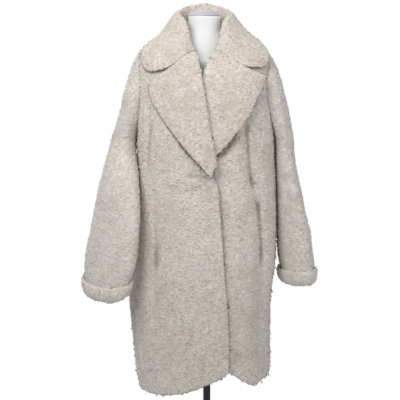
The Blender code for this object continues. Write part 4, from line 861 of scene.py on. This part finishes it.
def painted_material(name, colour, roughness, orange_peel):
    """Paint or plastic with a faint unevenness in gloss and surface."""
    material, graph, shader = new_material(name)
    place = graph.add("ShaderNodeTexCoord", "Object")
    cloudy = graph.add("ShaderNodeTexNoise", "Fac", {"Vector": place, "Scale": 60.0, "Detail": 3.0})
    gloss = graph.add(
        "ShaderNodeMapRange", "Result",
        {"Value": cloudy, "To Min": roughness - 0.08, "To Max": roughness + 0.08})
    graph.tree.links.new(gloss, shader.inputs["Roughness"])
    peel = graph.add("ShaderNodeTexNoise", "Fac", {"Vector": place, "Scale": 700.0})
    bump = graph.add(
        "ShaderNodeBump", "Normal", {"Height": peel, "Strength": orange_peel, "Distance": 0.1 * MM})
    graph.tree.links.new(bump, shader.inputs["Normal"])
    shade = graph.mix(cloudy, (*[c * 0.9 for c in colour], 1), (*colour, 1))
    graph.tree.links.new(shade, shader.inputs["Base Color"])
    return material


# ------------------------------------------------------------------ the coat's panels

TREE = []


def open_tree():
    """The tree of blockers, made once."""
    if not TREE:
        TREE.append(tree_of(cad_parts))
    return TREE[0]


def make_panel(node):
    """One panel of the coat: its backing and its pile."""
    sizes = bpy.context.scene.coat_sizes
    panel = PANELS[node]
    finish = FINISHES[panel.finish]
    colour = getattr(sizes, finish.colour)
    material = plush_material("pile_" + panel.finish, colour, finish.grain, finish.warm, sizes)
    cloth = backing(node, node + "_cloth", open_tree(), sizes)
    cloth.data.materials.clear()
    cloth.data.materials.append(material)
    fur = pile(cloth, node + "_pile", finish, material, sizes, sizes.seed + list(PANELS).index(node) * 11)
    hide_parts(node)
    for piece in (cloth, fur):
        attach(piece, BODY)
    print(node, "cloth", triangles(cloth), "pile", triangles(fur))


def triangles(piece):
    """How many triangles a piece has."""
    return sum(len(p.vertices) - 2 for p in piece.data.polygons)


class PanelMaker:
    """What the operators of the coat's panels share."""

    bl_options = {"REGISTER"}
    nodes = ()

    def execute(self, context):
        for node in self.nodes:
            make_panel(node)
        return {"FINISHED"}


class COAT_OT_fronts(PanelMaker, bpy.types.Operator):
    """Makes the two fronts, the wearer's right one over the left"""

    bl_idname = "coat.fronts"
    bl_label = "Fronts"
    nodes = ("front_right", "front_left")


class COAT_OT_back(PanelMaker, bpy.types.Operator):
    """Makes the back"""

    bl_idname = "coat.back"
    bl_label = "Back"
    nodes = ("back",)


class COAT_OT_sleeves(PanelMaker, bpy.types.Operator):
    """Makes the two sleeves"""

    bl_idname = "coat.sleeves"
    bl_label = "Sleeves"
    nodes = ("sleeve_right", "sleeve_left")


class COAT_OT_cuffs(PanelMaker, bpy.types.Operator):
    """Makes the turned-back ends of the sleeves"""

    bl_idname = "coat.cuffs"
    bl_label = "Cuffs"
    nodes = ("cuff_right", "cuff_left")


class COAT_OT_lapels(PanelMaker, bpy.types.Operator):
    """Makes the two lapels"""

    bl_idname = "coat.lapels"
    bl_label = "Lapels"
    nodes = ("lapel_right", "lapel_left")


class COAT_OT_collar(PanelMaker, bpy.types.Operator):
    """Makes the collar"""

    bl_idname = "coat.collar"
    bl_label = "Collar"
    nodes = ("collar",)


# ------------------------------------------------------------------ the form and its stand

# An edge of the form or stand that turns by more than this, in degrees, keeps this much of its crease.
FORM_EDGE = 35.0
FORM_CREASE = 0.85


def smooth_part(node, name, material):
    """A rounder copy of a rigid node with its own finish."""
    piece = link(merged_copy(node), name)
    crease_edges(piece, math.radians(FORM_EDGE), lambda edge: FORM_CREASE)
    subdivide(piece, 2)
    piece.data.materials.clear()
    piece.data.materials.append(material)
    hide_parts(node)
    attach(piece, BODY)
    return piece


class COAT_OT_form(bpy.types.Operator):
    """Makes the dress form's torso with its neck and cap"""

    bl_idname = "coat.form"
    bl_label = "Dress form"

    def execute(self, context):
        colours = context.scene.form_sizes
        smooth_part("form_torso", "torso_jersey", jersey_material(colours.jersey_colour))
        cap = painted_material("satin_cap", colours.cap_colour, 0.60, 0.05)
        smooth_part("form_cap", "neck_cap", cap)
        return {"FINISHED"}


class COAT_OT_stand(bpy.types.Operator):
    """Makes the stand's pole and base"""

    bl_idname = "coat.stand"
    bl_label = "Stand"

    def execute(self, context):
        paint = painted_material("black_powder_coat", context.scene.form_sizes.stand_colour, 0.5, 0.3)
        smooth_part("form_pole", "stand_pole", paint)
        smooth_part("form_base", "stand_base", paint)
        return {"FINISHED"}


# ------------------------------------------------------------------ floor, light and camera

# The camera's place before the coat was centred on its box, and what it looks at; half the frame's width there.
CAMERA_X = -0.00855
CAMERA_Y = -4.0
CAMERA_Z = 1.37
TARGET_Z = 0.91575
HALF_FRAME = 0.57
POLE_X_BEFORE = 0.0110
SENSOR = 36.0

# One row for each light: the setting that holds its power, and its share of it; its place; the height it is aimed
# at above the coat's middle; its width.
Light = namedtuple("Light", "name power share place aim_z size")
LIGHTS = (
    Light("key", "key_power", 1.0, (-0.8, -1.6, 2.35), 1.2, 1.1),
    Light("fill", "fill_power", 1.0, (1.6, -1.7, 1.9), 1.2, 1.6),
    Light("behind", "fill_power", 1.6, (-0.6, 2.0, 2.2), 1.1, 1.6),
)


def soft_light(name, place, aim, size, power):
    """A large square soft light aimed at a point."""
    lamp = bpy.data.lights.new(name, "AREA")
    lamp.shape = "SQUARE"
    lamp.size = size
    lamp.energy = power
    held = bpy.data.objects.new(name, lamp)
    held.location = place
    held.rotation_euler = (Vector(aim) - Vector(place)).to_track_quat("-Z", "Y").to_euler()
    bpy.context.scene.collection.objects.link(held)
    return held


class COAT_OT_stage(bpy.types.Operator):
    """Makes the floor, the soft light and the camera"""

    bl_idname = "coat.stage"
    bl_label = "Stage"

    def execute(self, context):
        stage = context.scene.stage_sizes
        low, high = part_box("form_pole")
        shift_x = (low[0] + high[0]) / 2 - POLE_X_BEFORE
        shift_y = (low[1] + high[1]) / 2

        work = bmesh.new()
        bmesh.ops.create_circle(
            work, cap_ends=True, segments=96, radius=stage.floor_radius)
        mesh = bpy.data.meshes.new("floor")
        work.to_mesh(mesh)
        work.free()
        floor = link(mesh, "floor")
        material, graph, shader = new_material("pale_floor")
        place = graph.add("ShaderNodeTexCoord", "Object")
        cloudy = graph.add("ShaderNodeTexNoise", "Fac", {"Vector": place, "Scale": 3.0})
        tint = graph.add("ShaderNodeMapRange", "Result", {"Value": cloudy, "To Min": 0.74, "To Max": 0.77})
        graph.tree.links.new(
            graph.add("ShaderNodeCombineColor", "Color", {"Red": tint, "Green": tint, "Blue": tint}),
            shader.inputs["Base Color"])
        shader.inputs["Roughness"].default_value = 0.7
        mesh.materials.append(material)

        world = bpy.data.worlds.new("white_sky")
        world.use_nodes = True
        world.node_tree.nodes.clear()
        sky = Graph(world.node_tree)
        seen = sky.add("ShaderNodeLightPath", "Is Camera Ray")
        way_up = sky.add("ShaderNodeSeparateXYZ", "Z", {"Vector": sky.add("ShaderNodeTexCoord", "Generated")})
        lit = sky.add(
            "ShaderNodeMapRange", "Result",
            {"Value": way_up, "From Min": -1.0, "To Min": 0.25 * stage.sky, "To Max": 1.45 * stage.sky})
        strength = sky.maths("MAXIMUM", seen, lit)
        glow = sky.add("ShaderNodeBackground", "Background", {"Color": (1, 1, 1, 1), "Strength": strength})
        sky.add("ShaderNodeOutputWorld", None, {"Surface": glow})
        context.scene.world = world

        for light in LIGHTS:
            power = light.share * getattr(stage, light.power)
            soft_light(light.name, light.place, (shift_x, 0.0, light.aim_z), light.size, power)

        camera = bpy.data.cameras.new("camera")
        place = Vector((CAMERA_X + shift_x, CAMERA_Y + shift_y, CAMERA_Z))
        aim = Vector((CAMERA_X + shift_x, shift_y, TARGET_Z))
        camera.sensor_width = SENSOR
        camera.lens = SENSOR * (aim - place).length / (2 * HALF_FRAME)
        held = bpy.data.objects.new("camera", camera)
        held.location = place
        held.rotation_euler = (aim - place).to_track_quat("-Z", "Y").to_euler()
        context.scene.collection.objects.link(held)
        context.scene.camera = held
        context.scene.view_settings.view_transform = "Standard"
        return {"FINISHED"}


# ------------------------------------------------------------------ the sidebar, and running it all

OPERATORS = (
    COAT_OT_fronts, COAT_OT_back, COAT_OT_sleeves, COAT_OT_cuffs, COAT_OT_lapels, COAT_OT_collar,
    COAT_OT_form, COAT_OT_stand, COAT_OT_stage,
)


class COAT_PT_sidebar(bpy.types.Panel):
    """Lists what the add-on makes"""

    bl_idname = "COAT_PT_sidebar"
    bl_label = "Faux fur coat"
    bl_space_type = "VIEW_3D"
    bl_region_type = "UI"
    bl_category = "Coat"

    def draw(self, context):
        for name in ("coat_sizes", "form_sizes", "stage_sizes"):
            group = getattr(context.scene, name)
            box = self.layout.box()
            for key in group.__annotations__:
                box.prop(group, key)
        for operator in OPERATORS:
            self.layout.operator(operator.bl_idname)


CLASSES = (CoatSizes, FormSizes, StageSizes, *OPERATORS, COAT_PT_sidebar)


def register():
    """Adds the classes and the settings kept on the scene."""
    for made in CLASSES:
        bpy.utils.register_class(made)
    bpy.types.Scene.coat_sizes = PointerProperty(type=CoatSizes)
    bpy.types.Scene.form_sizes = PointerProperty(type=FormSizes)
    bpy.types.Scene.stage_sizes = PointerProperty(type=StageSizes)


def unregister():
    """Takes them away again."""
    for name in ("coat_sizes", "form_sizes", "stage_sizes"):
        delattr(bpy.types.Scene, name)
    for made in reversed(CLASSES):
        bpy.utils.unregister_class(made)


def main():
    register()
    for operator in OPERATORS:
        group, name = operator.bl_idname.split(".")
        getattr(getattr(bpy.ops, group), name)()


if __name__ == "__main__":
    main()
